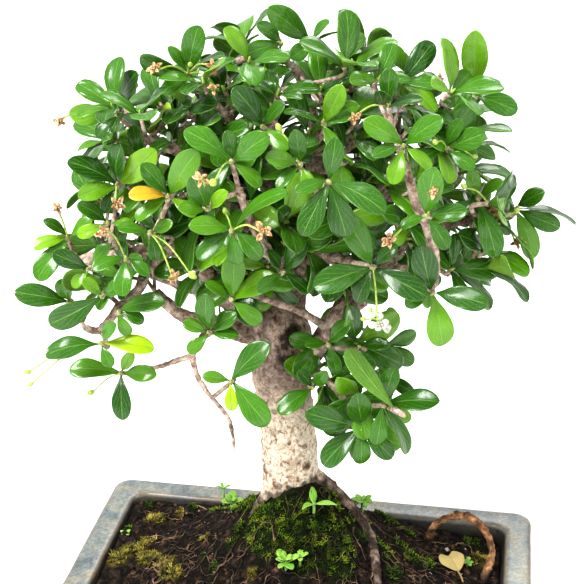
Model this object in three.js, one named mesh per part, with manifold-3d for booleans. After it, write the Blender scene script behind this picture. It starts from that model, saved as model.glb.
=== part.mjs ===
// A Fukien tea bonsai in its shallow glazed pot: trunk and limbs as one piece of wood, its leafy sprays,
// the mounded soil, an arching root, a seedling, three weeds and a fallen leaf. Millimetres, +Z up.
// The origin is the middle of the pot's underside, +X runs along the pot and +Y to its back.
import * as THREE from "three";
import { mergeVertices } from "three/addons/utils/BufferGeometryUtils.js";
import Module from "manifold-3d";

const wasm = await Module();
wasm.setup();

// Driving dimensions of the pot
const POT_LENGTH = 240;
const POT_DEPTH = 180;
const POT_HEIGHT = 60;
const RIM_WIDTH = 14;
const LIP_HEIGHT = 10;
const LIP_OVERHANG = 6;
const WALL_TAPER = 11;
const CORNER_RADIUS = 9.5;
const CORNER_SHRINK = 0.3;
const SMALLEST_CORNER = 4;
const LIP_SLOPE = 3;
const PLINTH_HEIGHT = 5;
const PLINTH_INSET = 3;
const PLINTH_STEP = 1;
const FLOOR_THICKNESS = 10;
const EDGE_ROUNDING = 1.8;
const CORNER_STEPS = 3;

// Driving dimensions of the soil, whose mound carries the foot of the trunk
const GAP = 0.35;
const SOIL_DROP = 9;
const SOIL_LEVEL = POT_HEIGHT - SOIL_DROP;
const MOUND_HEIGHT = 66;
const MOUND_SPREAD = 42;
const MOUND_SHAPE = 1.5;
const MOUND_OFFSET = 4;
const SOIL_RINGS = 7;
const SOIL_STEPS_A_SIDE = 4;
const SOIL_RING_SPREAD = 0.8;
const BANK_AT_WALL = 5;
const BANK_SLOPE = 1.5;
const LUMP_HEIGHT = 1.5;
const BROAD_LUMPS = { share: 0.6, acrossPot: 0.13, deepInPot: 0.17, shift: 1 };
const SLANTED_LUMPS = { share: 0.4, acrossPot: 0.31, deepInPot: 0.23 };
const SOIL_SEARCH = { nearest: 130, furthest: -60, step: 0.25 };

// Driving dimensions of the tree
const TRUNK_FOOT_RADIUS = 15.4;
const TRUNK_FORK_RADIUS = 13.4;
const FORK_SWELLING = 1.6;
const FORK_PLACE = 0.78;
const FORK_REACH = 0.1;
const TRUNK_TOP_TAPER = 5;
const TOP_TAPER_FROM = 0.88;
const TRUNK_NARROWING = 1.1;
const FLUTES = [{ depth: 0.05, count: 3, twist: 2 }, { depth: 0.035, count: 5, twist: -3 }];
const TRUNK_SIDES = 14;
const TRUNK_SEGMENTS = 12;
const ROOT_SIDES = 6;
const THICK_LIMB = 5;
const THICK_LIMB_SIDES = 6;
const THIN_LIMB_SIDES = 5;
const LIMB_TAPER = 0.8;
const LEADER_TIP_RADIUS = 3;
const TWIG_RADIUS = 1.25;
const TWIG_TIP_RADIUS = 1.1;
const RIB_THICKNESS = 1.2;
const LEAF_CLEARANCE = 0.45;
const SPRINGS_PER_STRETCH = 4;
const BARK_ROUGHNESS = 0.15;
const SPUR_LENGTH = 8;
const HUB_RADIUS = 1.7;
const HUB_HEIGHT = 1.3;
const BLANK_TURN = 1.6;
const BLADE_FOLD = 0.26;
const BLADE_ARCH = 0.09;
const BLADE_WIDTH_SHARE = 0.46;
const SHORTEST_WIDTH = 6.5;
const LARGEST_WIDTH = 12.5;
const PETALS = 5;
const PETAL_WAIST = 0.45;
const FLOWER_FRONT = 0.9;
const FLOWER_BACK = 1.4;
const FLOWER_STALK_RADIUS = 0.6;
const FLOWER_STALK_BOW = 2;
const FINE_BLADE = { edge: [[0.38, 0.66], [0.68, 1], [0.92, 0.62]], rib: [0.62] };
const PLAIN_BLADE = { edge: [[0.6, 1], [0.9, 0.7]], rib: [0.6] };
const ROOM_BLADE = { edge: [[0.36, 0.62], [0.66, 1], [0.92, 0.66]], rib: [0.3, 0.7] };
const SAME_POINT = 1e-4;
const LARGEST_TOUCH = 0.002;
const SEED = 7;

// The ranges that the seeded draws choose from: angles in degrees, and widths against the blade's length
const SEEN_LEAVES = { lean: [2, 26], roll: 40, width: [0.4, 0.5] };
const RULED_LEAVES = { lean: [8, 34], roll: 30, length: [20, 28], uneven: 0.1 };

// The tree is set out as it is seen from its front. Across and down are units of a front view 584 units
// square, and toward is how many millimetres a point stands in front of the trunk.
const FRONT = { eye: [90.6, -557.2, 471.5], turn: 9.4, dip: 23.5, focal: 1324, middle: 292 };
const TRUNK_PLACE = new THREE.Vector3(-7, 27, 0);

const radians = THREE.MathUtils.degToRad;
const vector = (x, y, z) => new THREE.Vector3(x, y, z);
const UP = vector(0, 0, 1);
const RIGHT = vector(Math.cos(radians(FRONT.turn)), Math.sin(radians(FRONT.turn)), 0);
const BACK = vector(-Math.sin(radians(FRONT.turn)), Math.cos(radians(FRONT.turn)), 0);
const SIGHT = BACK.clone()
  .multiplyScalar(Math.cos(radians(FRONT.dip)))
  .addScaledVector(UP, -Math.sin(radians(FRONT.dip)));
const SIGHT_UP = BACK.clone()
  .multiplyScalar(Math.sin(radians(FRONT.dip)))
  .addScaledVector(UP, Math.cos(radians(FRONT.dip)));
const VIEWER = SIGHT.clone().negate();

// A place given by where it is seen from the front and how far it stands in front of the trunk
function seen([across, down, toward = 0]) {
  const eye = vector(...FRONT.eye);
  const line = SIGHT.clone()
    .multiplyScalar(FRONT.focal)
    .addScaledVector(RIGHT, across - FRONT.middle)
    .addScaledVector(SIGHT_UP, FRONT.middle - down);
  const plane = TRUNK_PLACE.clone().addScaledVector(BACK, -toward);
  return eye.addScaledVector(line, plane.sub(eye).dot(BACK) / line.dot(BACK));
}

// A seeded draw between 0 and 1 for one item of one row
function draw(row, item, use) {
  const wave = Math.sin(row * 127.1 + item * 311.7 + use * 74.7 + SEED) * 43758.5453;
  return wave - Math.floor(wave);
}

const between = (low, high, share) => low + (high - low) * share;

// The middle line of the trunk from below the soil to above the fork, as seen from the front
const TRUNK_LINE = [
  [291, 556, 2], [290, 520, 1], [290, 484, 0], [289, 440, 0], [285, 402, 0], [281, 366, 0], [283, 330, 0],
  [287, 306, -2],
];

// Limbs of the tree: the radius at the start and the end, and the route as seen from the front
const LIMBS = {
  leader: [
    TRUNK_FORK_RADIUS - 3, LEADER_TIP_RADIUS,
    [284, 334, 0], [290, 295, -4], [299, 258, -4], [308, 222, 4], [314, 186, 18], [311, 155, 22],
  ],
  left_stub: [6.2, 2.8, [276, 340, 0], [240, 332, 6], [210, 322, 12], [183, 316, 15], [155, 292, 15]],
  left_main: [
    6.4, 3,
    [278, 330, 0], [232, 302, 4], [207, 270, 8], [182, 249, 10], [158, 247, 14], [128, 256, 18],
    [98, 258, 14], [78, 262, 10],
  ],
  left_low: [
    3.4, 1.8,
    [170, 247, 12], [147, 268, 20], [140, 288, 24], [121, 306, 28], [100, 330, 30], [84, 327, 26],
  ],
  left_high: [
    5, 1.8,
    [294, 276, -3], [262, 238, 4], [233, 207, 14], [205, 180, 20], [179, 152, 24], [158, 146, 22],
    [140, 134, 18],
  ],
  left_top: [4.2, 1.7, [304, 236, 0], [276, 192, 2], [252, 152, 4], [227, 115, 6], [204, 99, 8]],
  cut_stub: [3.6, 2.4, [310, 214, 6], [286, 172, 20], [272, 133, 28], [273, 112, 28], [267, 84, 26]],
  top: [
    3.6, 1.6,
    [314, 180, 16], [318, 140, 2], [306, 100, -6], [299, 75, 0], [284, 61, 5], [262, 56, 8],
    [236, 61, 10],
  ],
  top_twig: [2, 1.5, [306, 100, -6], [313, 72, -6]],
  right_main: [
    6, 3.4,
    [288, 366, 2], [312, 354, 12], [332, 322, 14], [352, 306, 15], [372, 289, 15], [386, 266, 18],
    [396, 246, 14],
  ],
  right_bare: [
    3.4, 1.8,
    [384, 270, 16], [404, 272, 30], [424, 284, 44], [433, 282, 50], [434, 254, 56], [427, 227, 58],
    [416, 204, 58], [408, 174, 56], [398, 143, 52], [392, 130, 50],
  ],
  right_out: [3.6, 1.9, [396, 250, 14], [416, 236, 14], [440, 226, 16], [470, 219, 12], [492, 214, 7]],
  right_high: [
    3.8, 1.8,
    [392, 258, 14], [372, 218, 4], [388, 190, 2], [405, 177, 2], [432, 150, 2], [452, 126, 2],
    [462, 116, 2],
  ],
  right_top: [3.4, 1.7, [312, 200, 10], [338, 152, -6], [370, 122, -8], [400, 114, -6], [419, 108, -6]],
  front_high: [3.4, 1.8, [306, 230, 2], [312, 214, 34], [318, 204, 50], [322, 200, 58]],
  front_low: [3.8, 2, [294, 280, -4], [281, 264, 32], [264, 250, 50], [250, 238, 58]],
  front_left: [2.6, 1.6, [270, 254, 44], [252, 224, 46], [242, 200, 48], [238, 186, 48]],
  front_right: [3.4, 2, [299, 262, 2], [326, 256, 28], [352, 262, 42]],
  across_trunk: [
    2.3, 1.5,
    [328, 328, 14], [312, 318, 25], [299, 311, 29], [280, 304, 31], [262, 298, 31], [246, 293, 30],
  ],
  low_right: [2.8, 1.6, [296, 374, 4], [318, 374, 17], [333, 386, 24], [348, 406, 30]],
  low_bare: [
    2.1, 1,
    [212, 324, 12], [200, 340, 26], [193, 356, 30], [199, 380, 34], [212, 398, 36], [230, 421, 38],
    [234, 451, 38],
  ],
  low_left: [1.7, 1.3, [193, 355, 30], [176, 361, 30], [158, 367, 30], [146, 369, 30]],
  back_left: [5.4, 1.9, [286, 314, -2], [268, 276, -34], [236, 246, -58], [210, 226, -68]],
  back_right: [5.2, 1.9, [290, 304, -2], [312, 256, -40], [330, 222, -60], [346, 198, -70]],
  back_out: [4.4, 1.8, [330, 326, 12], [366, 262, -26], [410, 238, -46], [436, 222, -50]],
  back_top: [4, 1.8, [302, 250, -6], [292, 192, -34], [280, 142, -46]],
  back_low: [4.6, 1.8, [276, 334, -4], [228, 304, -32], [182, 286, -46], [148, 274, -46]],
};

// Sprays as seen from the front: each is a list of rosettes. A rosette gives its middle, then the tip of
// each leaf, with a roll in degrees where a blade is seen on its side. The first rosette springs from the
// nearest limb, and the others spring from its shoot.
const SPRAYS = {
  crown_left: [
    [[188, 74, 16], [206, 27], [138, 56, 40], [226, 54, 50], [167, 46], [160, 94], [216, 90]],
  ],
  shoulder_left: [
    [[118, 114, 10], [138, 70], [104, 96], [67, 113, 30], [92, 134], [150, 120, 40]],
    [[151, 139, 34], [125, 94], [177, 112], [181, 146, 40], [130, 160]],
  ],
  crown_front: [[[263, 127, 44], [228, 104, 30], [232, 86], [290, 150], [238, 150], [286, 102]]],
  upper_middle: [[[232, 162, 60], [193, 122], [229, 133], [270, 134], [207, 192], [262, 188]]],
  mid_left_high: [
    [[118, 185, 30], [65, 161], [138, 138], [158, 149, 40], [98, 210], [74, 188]],
    [[108, 223, 34], [76, 203], [76, 236], [136, 226]],
  ],
  mid_left: [
    [[169, 196, 46], [140, 163], [131, 214], [127, 196, 35], [199, 148], [196, 218]],
    [[150, 232, 44], [116, 228], [174, 222], [156, 262]],
  ],
  centre_left: [
    [[232, 229, 72], [187, 227], [190, 252], [262, 260], [290, 191, 40], [238, 266]],
    [[208, 211, 66], [178, 196], [228, 190], [192, 174]],
  ],
  left_fan: [
    [[90, 269, 28], [51, 252], [72, 288], [112, 244]],
    [[126, 257, 46], [91, 270], [122, 298], [150, 276]],
  ],
  left_edge: [
    [[69, 238, 12], [32, 248, 30], [27, 273], [42, 220, 40], [94, 218]],
    [[70, 303, 14], [12, 292], [31, 302, 20], [60, 278], [52, 320, 40]],
  ],
  left_lower: [
    [[103, 297, 34], [68, 322], [47, 325, 30], [126, 282], [82, 278]],
    [[117, 311, 40], [145, 322], [168, 320], [130, 336]],
  ],
  low_left_pair: [[[101, 343, 40], [43, 356], [116, 322], [112, 368], [154, 344]]],
  low_left_cross: [[[121, 373, 28], [67, 370], [162, 374], [123, 422], [134, 352]]],
  left_inner: [[[209, 333, 38], [206, 292], [182, 322], [187, 353], [238, 312], [239, 336]]],
  by_trunk_left: [[[231, 381, 40], [201, 376], [271, 342], [232, 412], [269, 427]]],
  across_tip: [[[231, 300, 40], [262, 324], [235, 257], [279, 276], [204, 282]]],
  by_trunk_right: [[[313, 388, 32], [277, 414], [297, 370], [327, 370]]],
  low_right_fan: [
    [[361, 427, 34], [326, 395], [322, 467], [361, 465], [386, 465], [303, 412], [356, 392]],
    [[383, 405, 42], [442, 402], [345, 347], [395, 366], [376, 447], [421, 452], [408, 456, 40]],
  ],
  right_fork: [
    [[328, 344, 30], [304, 345], [337, 376], [352, 322]],
    [[358, 346, 30], [391, 345], [374, 372]],
  ],
  front_right_star: [[[373, 267, 62], [311, 288], [340, 212], [429, 298], [356, 304], [398, 244]]],
  front_star: [[[329, 181, 76], [336, 136], [301, 238], [388, 214], [324, 242], [294, 192]]],
  hanging_right: [
    [[433, 292, 64], [443, 348], [489, 305], [402, 252], [404, 306]],
    [[449, 262, 42], [456, 212], [486, 302], [508, 274, 35], [478, 246]],
  ],
  upper_right: [[[404, 146, 64], [445, 117], [366, 144], [362, 119], [432, 170], [392, 186]]],
  bare_tip: [[[387, 107, 46], [373, 72, 30], [424, 99, 35], [390, 66], [352, 104]]],
  top_front: [
    [[323, 123, 38], [350, 88], [357, 117, 35], [282, 112, 30], [336, 152]],
    [[301, 164, 62], [264, 156], [296, 128], [312, 194], [276, 190]],
  ],
  top_tip: [
    [[311, 42, -6], [351, 33, 55], [266, 7, 35], [284, 64], [334, 64], [330, 20, 40]],
    [[338, 68, 2], [383, 46, 20], [352, 92], [316, 96], [372, 70, 40]],
    [[283, 43, 12], [256, 23], [241, 37, 25], [262, 66]],
  ],
  high_right: [[[474, 92, 0], [474, 28], [519, 112], [457, 50], [440, 106], [502, 82, 40]]],
  high_right_mid: [[[406, 74, -4], [393, 44], [433, 60, 25], [384, 84], [426, 90]]],
  right_middle: [[[427, 216, 74], [469, 211], [436, 165], [400, 228], [448, 250]]],
  right_end: [[[516, 208, 2], [546, 191], [573, 236, 45], [556, 238, 30], [533, 261], [496, 190]]],
  right_shoulder: [
    [[478, 198, 26], [508, 241, 30], [470, 168], [504, 180], [456, 232], [492, 258]],
    [[446, 148, 36], [476, 169], [489, 141], [416, 160], [462, 118]],
  ],
  centre_low: [[[283, 272, 48], [308, 241], [310, 294], [256, 292], [262, 250]]],
};

// Rosettes that follow a rule: an even spread of places over an ellipsoid, on the top, the sides and the
// far side of the crown. In front they stand deep in the crown, behind the sprays above. Each has a few sizes
// to try.
const CROWN = {
  middle: [294, 208, 0],
  across: 98,
  deep: 84,
  high: 66,
  points: 27,
  lowest: -0.5,
  foremost: -0.3,
};
const OUTER_SIZES = [1, 0.9, 1.08, 0.8];
const INNER_SIZES = [0.5, 0.42, 0.58, 0.34];
const ROSETTES_BY_RULE = 3;
const RULED_ROW = 100;
const RISE_OF_AXES = 0.35;
const SIDE_REACH = 25;
const SIDE_SPREAD = 110;
const SIDE_FLATTENING = 0.8;
const SIDE_SET_BACK = 5;
const SIDE_TURNS = [0, 30, -30, 60, -60, 90];
const LEAVES_BY_RULE = 4;
const GOLDEN_TURN = Math.PI * (3 - Math.sqrt(5));

// How a blade that would cross a neighbour is bent clear: lean and swing in degrees, tried in this order
const BENDS = [
  [0, 0], [12, 0], [-12, 0], [0, 14], [0, -14], [24, 0], [14, 16], [14, -16], [-24, 0], [0, 28], [0, -28],
  [36, 0],
];

// Faded flowers and buds: the spray, the place as seen from the front and the reach of a petal
const FLOWERS = [
  ["centre_left", [263, 231, 84], 3.9],
  ["front_right_star", [379, 322, 68], 4.2],
  ["right_middle", [389, 241, 76], 3.8],
  ["mid_left_high", [117, 204, 42], 3.3],
  ["mid_left", [105, 231, 54], 3.8],
  ["left_fan", [173, 277, 54], 3.2],
  ["right_end", [517, 243, 14], 3.4],
  ["shoulder_left", [60, 121, 8], 2.8],
  ["left_edge", [57, 208, 14], 3.3],
  ["upper_middle", [204, 180, 70], 3.4],
  ["low_left_pair", [31, 371, 42], 2.6],
  ["low_left_cross", [94, 391, 34], 2.6],
  ["high_right", [440, 81, 8], 3.2],
  ["high_right", [468, 124, 10], 3],
];

// Roots at the foot of the trunk: the radius at the start and the end, then plan places to the right of the
// trunk and in front of it, and how high each point stands over the soil
const ROOTS = [
  [5.6, 2, [8, 0, 0], [17, 1, 0], [27, 0, -0.4], [37, 5, -0.4], [42, 14, 0], [44, 30, 0], [44, 48, -4]],
  [6, 2.2, [-7, 5, -2], [-17, 9, -4], [-28, 15, -5]],
  [5.5, 2, [3, -8, 0], [13, -16, -1], [24, -24, -4]],
];

// A bare root that arches over the soil, as seen from the front
const ARCH = [[428, 540], [436, 524], [458, 515], [478, 523], [490, 541], [491, 558], [485, 576]];
const ARCH_RADIUS = 2.3;
const ARCH_SUNK = 7;
const ARCH_WAVES = { depth: 0.15, pace: 17 };
const ARCH_SEGMENTS = 14;

// Young plants in the soil, and a dropped leaf
const HERBS = [
  { name: "seedling", place: [314, 516], stalk: 8, leaves: 3, turn: 0, length: 12.5, rise: 0.6 },
  { name: "weed_left", place: [232, 513], stalk: 7, leaves: 5, turn: 20, length: 7.5, rise: 0.6 },
  { name: "weed_front", place: [286, 570], stalk: 5, leaves: 6, turn: 10, length: 8, rise: 0.4 },
  { name: "weed_right", place: [362, 512], stalk: 6.5, leaves: 5, turn: 50, length: 7.5, rise: 0.6 },
];
const HERB_STALK_RADIUS = 0.8;
const HERB_SIDES = 5;
const HERB_SUNK = 5;
const HERB_LEAF_SIZES = [0.8, 1.15];
const HERB_TOP_LEAF = 0.5;
const HERB_LEAF_ZONE = 1.6;
const FALLEN_LEAF = { place: [452, 562], turn: 105, length: 15, lift: 1.9, tilt: 1 };

// Turns a closed three.js geometry into a solid that can be joined and cut
function solid(geometry) {
  const bare = new THREE.BufferGeometry();
  bare.setAttribute("position", geometry.getAttribute("position"));
  if (geometry.index) bare.setIndex(geometry.index);
  const merged = mergeVertices(bare, SAME_POINT);
  const vertProperties = new Float32Array(merged.attributes.position.array);
  const triVerts = new Uint32Array(merged.index.array);
  const body = new wasm.Manifold(new wasm.Mesh({ numProp: 3, vertProperties, triVerts }));
  if (body.volume() <= 0) throw new Error("a body is inside out");
  return body;
}

// Turns a solid back into a three.js mesh with a name and a material
function meshOf(name, body, material) {
  const { numProp, numVert, vertProperties, triVerts } = body.getMesh();
  const positions = new Float32Array(numVert * 3);
  for (let i = 0; i < numVert; i++) {
    const start = i * numProp;
    positions.set(vertProperties.subarray(start, start + 3), i * 3);
  }
  const geometry = new THREE.BufferGeometry();
  geometry.setAttribute("position", new THREE.BufferAttribute(positions, 3));
  geometry.setIndex(new THREE.BufferAttribute(new Uint32Array(triVerts), 1));
  geometry.computeVertexNormals();
  const mesh = new THREE.Mesh(geometry, material);
  mesh.name = name;
  return mesh;
}

function indexed(points, faces) {
  const geometry = new THREE.BufferGeometry();
  const positions = points.flatMap((p) => [p.x, p.y, p.z]);
  geometry.setAttribute("position", new THREE.Float32BufferAttribute(positions, 3));
  geometry.setIndex(faces.flat());
  return geometry;
}

const join = (bodies) => wasm.Manifold.union(bodies);

// The one body that counts, where a cut has left loose scraps beside it
function largest(body) {
  const parts = body.decompose();
  return parts.reduce((best, part) => (part.volume() > best.volume() ? part : best));
}

// The point at an angle round a centre, in the plane of two directions
const around = (centre, first, second, radius, angle) =>
  centre
    .clone()
    .addScaledVector(first, radius * Math.cos(angle))
    .addScaledVector(second, radius * Math.sin(angle));

// A closed skin through rings of the same number of points, with a flat end on the first and the last ring
function loft(rings) {
  const count = rings[0].length;
  const faces = [];
  for (let r = 0; r + 1 < rings.length; r++)
    for (let i = 0; i < count; i++) {
      const a = r * count + i;
      const b = r * count + ((i + 1) % count);
      faces.push([a, b, b + count], [a, b + count, a + count]);
    }
  const end = (rings.length - 1) * count;
  for (let i = 1; i + 1 < count; i++) faces.push([0, i + 1, i], [end, end + i, end + i + 1]);
  return indexed(rings.flat(), faces);
}

// A tapered stem along a curve; radius takes the share of the length, from 0 to 1, and the angle round it
function stem(curve, radius, sides, segments) {
  const frames = curve.computeFrenetFrames(segments, false);
  const rings = [];
  for (let i = 0; i <= segments; i++) {
    const share = i / segments;
    const centre = curve.getPointAt(share);
    const ring = [];
    for (let k = 0; k < sides; k++) {
      const angle = (k / sides) * 2 * Math.PI;
      ring.push(around(centre, frames.normals[i], frames.binormals[i], radius(share, angle), angle));
    }
    rings.push(ring);
  }
  return solid(loft(rings));
}

// A direction that is not along a line
const anyAcross = (along) => (Math.abs(along.z) < 0.9 ? UP.clone() : RIGHT.clone());

// A tapered stem with a knee at each of its points; radius takes the share of the way, from 0 to 1
function kneedStem(points, radius, sides) {
  let normal = null;
  const rings = points.map((centre, i) => {
    const next = points[Math.min(i + 1, points.length - 1)];
    const along = next.clone().sub(points[Math.max(i - 1, 0)]).normalize();
    normal ??= anyAcross(along);
    normal.addScaledVector(along, -normal.dot(along)).normalize();
    const side = along.clone().cross(normal);
    const size = radius(i / (points.length - 1));
    return Array.from({ length: sides }, (_, k) =>
      around(centre, normal, side, size, (k / sides) * 2 * Math.PI),
    );
  });
  return solid(loft(rings));
}

const route = (points) => new THREE.CatmullRomCurve3(points, false, "catmullrom", 0.5);

// The outline of a rectangle with rounded corners, anticlockwise, with extra points along its sides
function outline(halfLength, halfDepth, radius, z, perSide = 1) {
  const corners = [[1, 1, 0], [-1, 1, 90], [-1, -1, 180], [1, -1, 270]];
  const round = corners.flatMap(([sx, sy, start]) =>
    Array.from({ length: CORNER_STEPS + 1 }, (_, i) => {
      const centre = vector(sx * (halfLength - radius), sy * (halfDepth - radius), z);
      const angle = radians(start + (i * 90) / CORNER_STEPS);
      return around(centre, vector(1, 0, 0), vector(0, 1, 0), radius, angle);
    }),
  );
  return round.flatMap((p, i) => {
    const next = round[(i + 1) % round.length];
    const steps = i % (CORNER_STEPS + 1) === CORNER_STEPS ? perSide : 1;
    return Array.from({ length: steps }, (_, k) => p.clone().lerp(next, k / steps));
  });
}

// How far the inner wall stands in from the outside of the rim at a height
function innerInset(z) {
  return RIM_WIDTH + (WALL_TAPER * (POT_HEIGHT - z)) / (POT_HEIGHT - FLOOR_THICKNESS);
}

const cornerAt = (inset) => Math.max(CORNER_RADIUS - inset * CORNER_SHRINK, SMALLEST_CORNER);

function pot() {
  const ring = (inset, z) => outline(POT_LENGTH / 2 - inset, POT_DEPTH / 2 - inset, cornerAt(inset), z);
  const foot = LIP_OVERHANG + WALL_TAPER;
  const lip = POT_HEIGHT - LIP_HEIGHT;
  return solid(
    loft([
      ring(foot + PLINTH_INSET, 0),
      ring(foot + PLINTH_INSET, PLINTH_HEIGHT),
      ring(foot, PLINTH_HEIGHT + PLINTH_STEP),
      ring(LIP_OVERHANG, lip - LIP_SLOPE),
      ring(EDGE_ROUNDING, lip),
      ring(0, lip + EDGE_ROUNDING),
      ring(0, POT_HEIGHT - EDGE_ROUNDING),
      ring(EDGE_ROUNDING, POT_HEIGHT),
      ring(RIM_WIDTH - EDGE_ROUNDING, POT_HEIGHT),
      ring(innerInset(POT_HEIGHT - EDGE_ROUNDING), POT_HEIGHT - EDGE_ROUNDING),
      ring(innerInset(FLOOR_THICKNESS), FLOOR_THICKNESS),
    ]),
  );
}

// Height of the soil: level near the walls, with a mound round the foot of the trunk and low lumps
const MOUND_TOP = TRUNK_PLACE.clone()
  .addScaledVector(RIGHT, MOUND_OFFSET)
  .addScaledVector(BACK, -MOUND_OFFSET);
function soilHeight(x, y) {
  const away = Math.hypot(x - MOUND_TOP.x, y - MOUND_TOP.y);
  const mound = MOUND_HEIGHT * Math.exp(-((away / MOUND_SPREAD) ** MOUND_SHAPE));
  const inside = Math.min(POT_LENGTH / 2 - Math.abs(x), POT_DEPTH / 2 - Math.abs(y)) - RIM_WIDTH;
  const wallLimit = BANK_AT_WALL + BANK_SLOPE * Math.max(inside, 0);
  const { share, acrossPot, deepInPot, shift } = BROAD_LUMPS;
  const broad = share * Math.sin(x * acrossPot + shift) * Math.sin(y * deepInPot);
  const slant = SLANTED_LUMPS.share * Math.sin(x * SLANTED_LUMPS.acrossPot + y * SLANTED_LUMPS.deepInPot);
  return SOIL_LEVEL + Math.min(mound, wallLimit) + (broad + slant) * LUMP_HEIGHT;
}

function soilBody() {
  const side = (z) => {
    const inset = innerInset(z) + GAP;
    const corner = cornerAt(innerInset(z)) - GAP;
    return outline(POT_LENGTH / 2 - inset, POT_DEPTH / 2 - inset, corner, z, SOIL_STEPS_A_SIDE);
  };
  const edge = side(SOIL_LEVEL - LUMP_HEIGHT);
  const rings = [side(FLOOR_THICKNESS + GAP)];
  for (let r = 0; r < SOIL_RINGS; r++) {
    const share = 1 - (r / SOIL_RINGS) ** SOIL_RING_SPREAD;
    rings.push(
      edge.map((p) => {
        const x = between(MOUND_TOP.x, p.x, share);
        const y = between(MOUND_TOP.y, p.y, share);
        return vector(x, y, soilHeight(x, y));
      }),
    );
  }
  return solid(loft(rings));
}

// The place on the soil that is seen at a point of the front view
function onSoil([across, down]) {
  for (let toward = SOIL_SEARCH.nearest; toward > SOIL_SEARCH.furthest; toward -= SOIL_SEARCH.step) {
    const place = seen([across, down, toward]);
    if (place.z <= soilHeight(place.x, place.y)) return place;
  }
  throw new Error("no soil is seen there");
}

// The trunk swells at its fork and at its foot, and is a little fluted
function trunk(extra) {
  const body = (share) => {
    const along = Math.min(share * TRUNK_NARROWING, 1);
    return between(TRUNK_FOOT_RADIUS, TRUNK_FORK_RADIUS, along);
  };
  const fork = (share) => FORK_SWELLING * Math.exp(-(((share - FORK_PLACE) / FORK_REACH) ** 2));
  const top = (share) => (TRUNK_TOP_TAPER * Math.max(share - TOP_TAPER_FROM, 0)) / (1 - TOP_TAPER_FROM);
  const flutes = (share, angle) =>
    FLUTES.reduce((sum, { depth, count, twist }) => sum + depth * Math.sin(count * angle + twist * share), 1);
  const radius = (share, angle) => (body(share) + fork(share) - top(share)) * flutes(share, angle) + extra;
  return stem(route(TRUNK_LINE.map(seen)), radius, TRUNK_SIDES, TRUNK_SEGMENTS);
}

function root([thick, thin, ...plan], extra) {
  const points = plan.map(([right, front, lift]) => {
    const place = TRUNK_PLACE.clone().addScaledVector(RIGHT, right).addScaledVector(BACK, -front);
    return place.setZ(soilHeight(place.x, place.y) + lift);
  });
  return stem(route(points), (share) => between(thick, thin, share) + extra, ROOT_SIDES, plan.length + 3);
}

const limbLines = Object.fromEntries(
  Object.entries(LIMBS).map(([name, [, , ...points]]) => [name, points.map(seen)]),
);

function limbRadius(name, share) {
  const [thick, thin] = LIMBS[name];
  return between(thick, thin, share ** LIMB_TAPER);
}

function limb(name, extra) {
  const sides = LIMBS[name][0] > THICK_LIMB ? THICK_LIMB_SIDES : THIN_LIMB_SIDES;
  return kneedStem(limbLines[name], (share) => limbRadius(name, share) + extra, sides);
}

// All the wood of the tree; extra thickens every part, for the room that its neighbours keep
function tree(extra = 0) {
  const roots = ROOTS.map((r) => root(r, extra));
  const limbs = Object.keys(LIMBS).map((name) => limb(name, extra));
  return join([trunk(extra), ...roots, ...limbs]);
}

// The line and the frame of a blade whose foot is at a place, with extra all round it
function bladeFrame({ base, tip, face, width }, extra) {
  const along = tip.clone().sub(base);
  const length = along.length() + extra;
  along.normalize();
  const normal = face.clone().addScaledVector(along, -face.dot(along)).normalize();
  const side = along.clone().cross(normal);
  const at = (share, out, lift) => {
    const arch = 4 * BLADE_ARCH * length * share * (1 - share);
    return base
      .clone()
      .addScaledVector(along, share * length)
      .addScaledVector(side, out)
      .addScaledVector(normal, arch + BLADE_FOLD * Math.abs(out) + lift);
  };
  return { at, half: width / 2 + extra, thick: RIB_THICKNESS / 2 + extra };
}

// Points and faces of a blade: obovate, folded up along its rib and arched, both faces split alike and
// meeting at a sharp edge. Its foot is a face of the hub, given by two corners above and two below.
function bladeSkin(leaf, foot, first) {
  const { edge, rib } = leaf.form;
  const { at, half, thick } = bladeFrame(leaf, 0);
  const points = [
    ...edge.map(([share, out]) => at(share, out * half, 0)),
    ...edge.map(([share, out]) => at(share, -out * half, 0)),
    ...rib.map((share) => at(share, 0, thick)),
    ...rib.map((share) => at(share, 0, -thick)),
    at(1, 0, 0),
  ];
  const n = edge.length;
  const m = rib.length;
  const tip = first + 2 * n + 2 * m;
  // One half of one face, from a corner of the foot along the edge to the tip
  const halfFace = (corner, edges, ribs) => {
    const faces = [];
    let e = 0;
    let outer = corner;
    for (let r = 0; r < m; r++) {
      const stop = r + 1 < m ? edge.findIndex(([share]) => share > rib[r]) : n - 1;
      while (e <= stop) {
        faces.push([outer, edges + e, ribs + r]);
        outer = edges + e;
        e++;
      }
      if (r + 1 < m) faces.push([ribs + r, outer, ribs + r + 1]);
    }
    faces.push([outer, tip, ribs + m - 1]);
    return faces;
  };
  const flip = (faces) => faces.map(([a, b, c]) => [a, c, b]);
  const right = first;
  const left = first + n;
  const over = first + 2 * n;
  const below = over + m;
  const faces = [
    [foot.leftTop, foot.rightTop, over],
    ...halfFace(foot.rightTop, right, over),
    ...flip(halfFace(foot.leftTop, left, over)),
    [foot.rightLow, foot.leftLow, below],
    ...flip(halfFace(foot.rightLow, right, below)),
    ...halfFace(foot.leftLow, left, below),
    [foot.rightLow, right, foot.rightTop],
    [foot.leftTop, left, foot.leftLow],
  ];
  return { points, faces };
}

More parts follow.
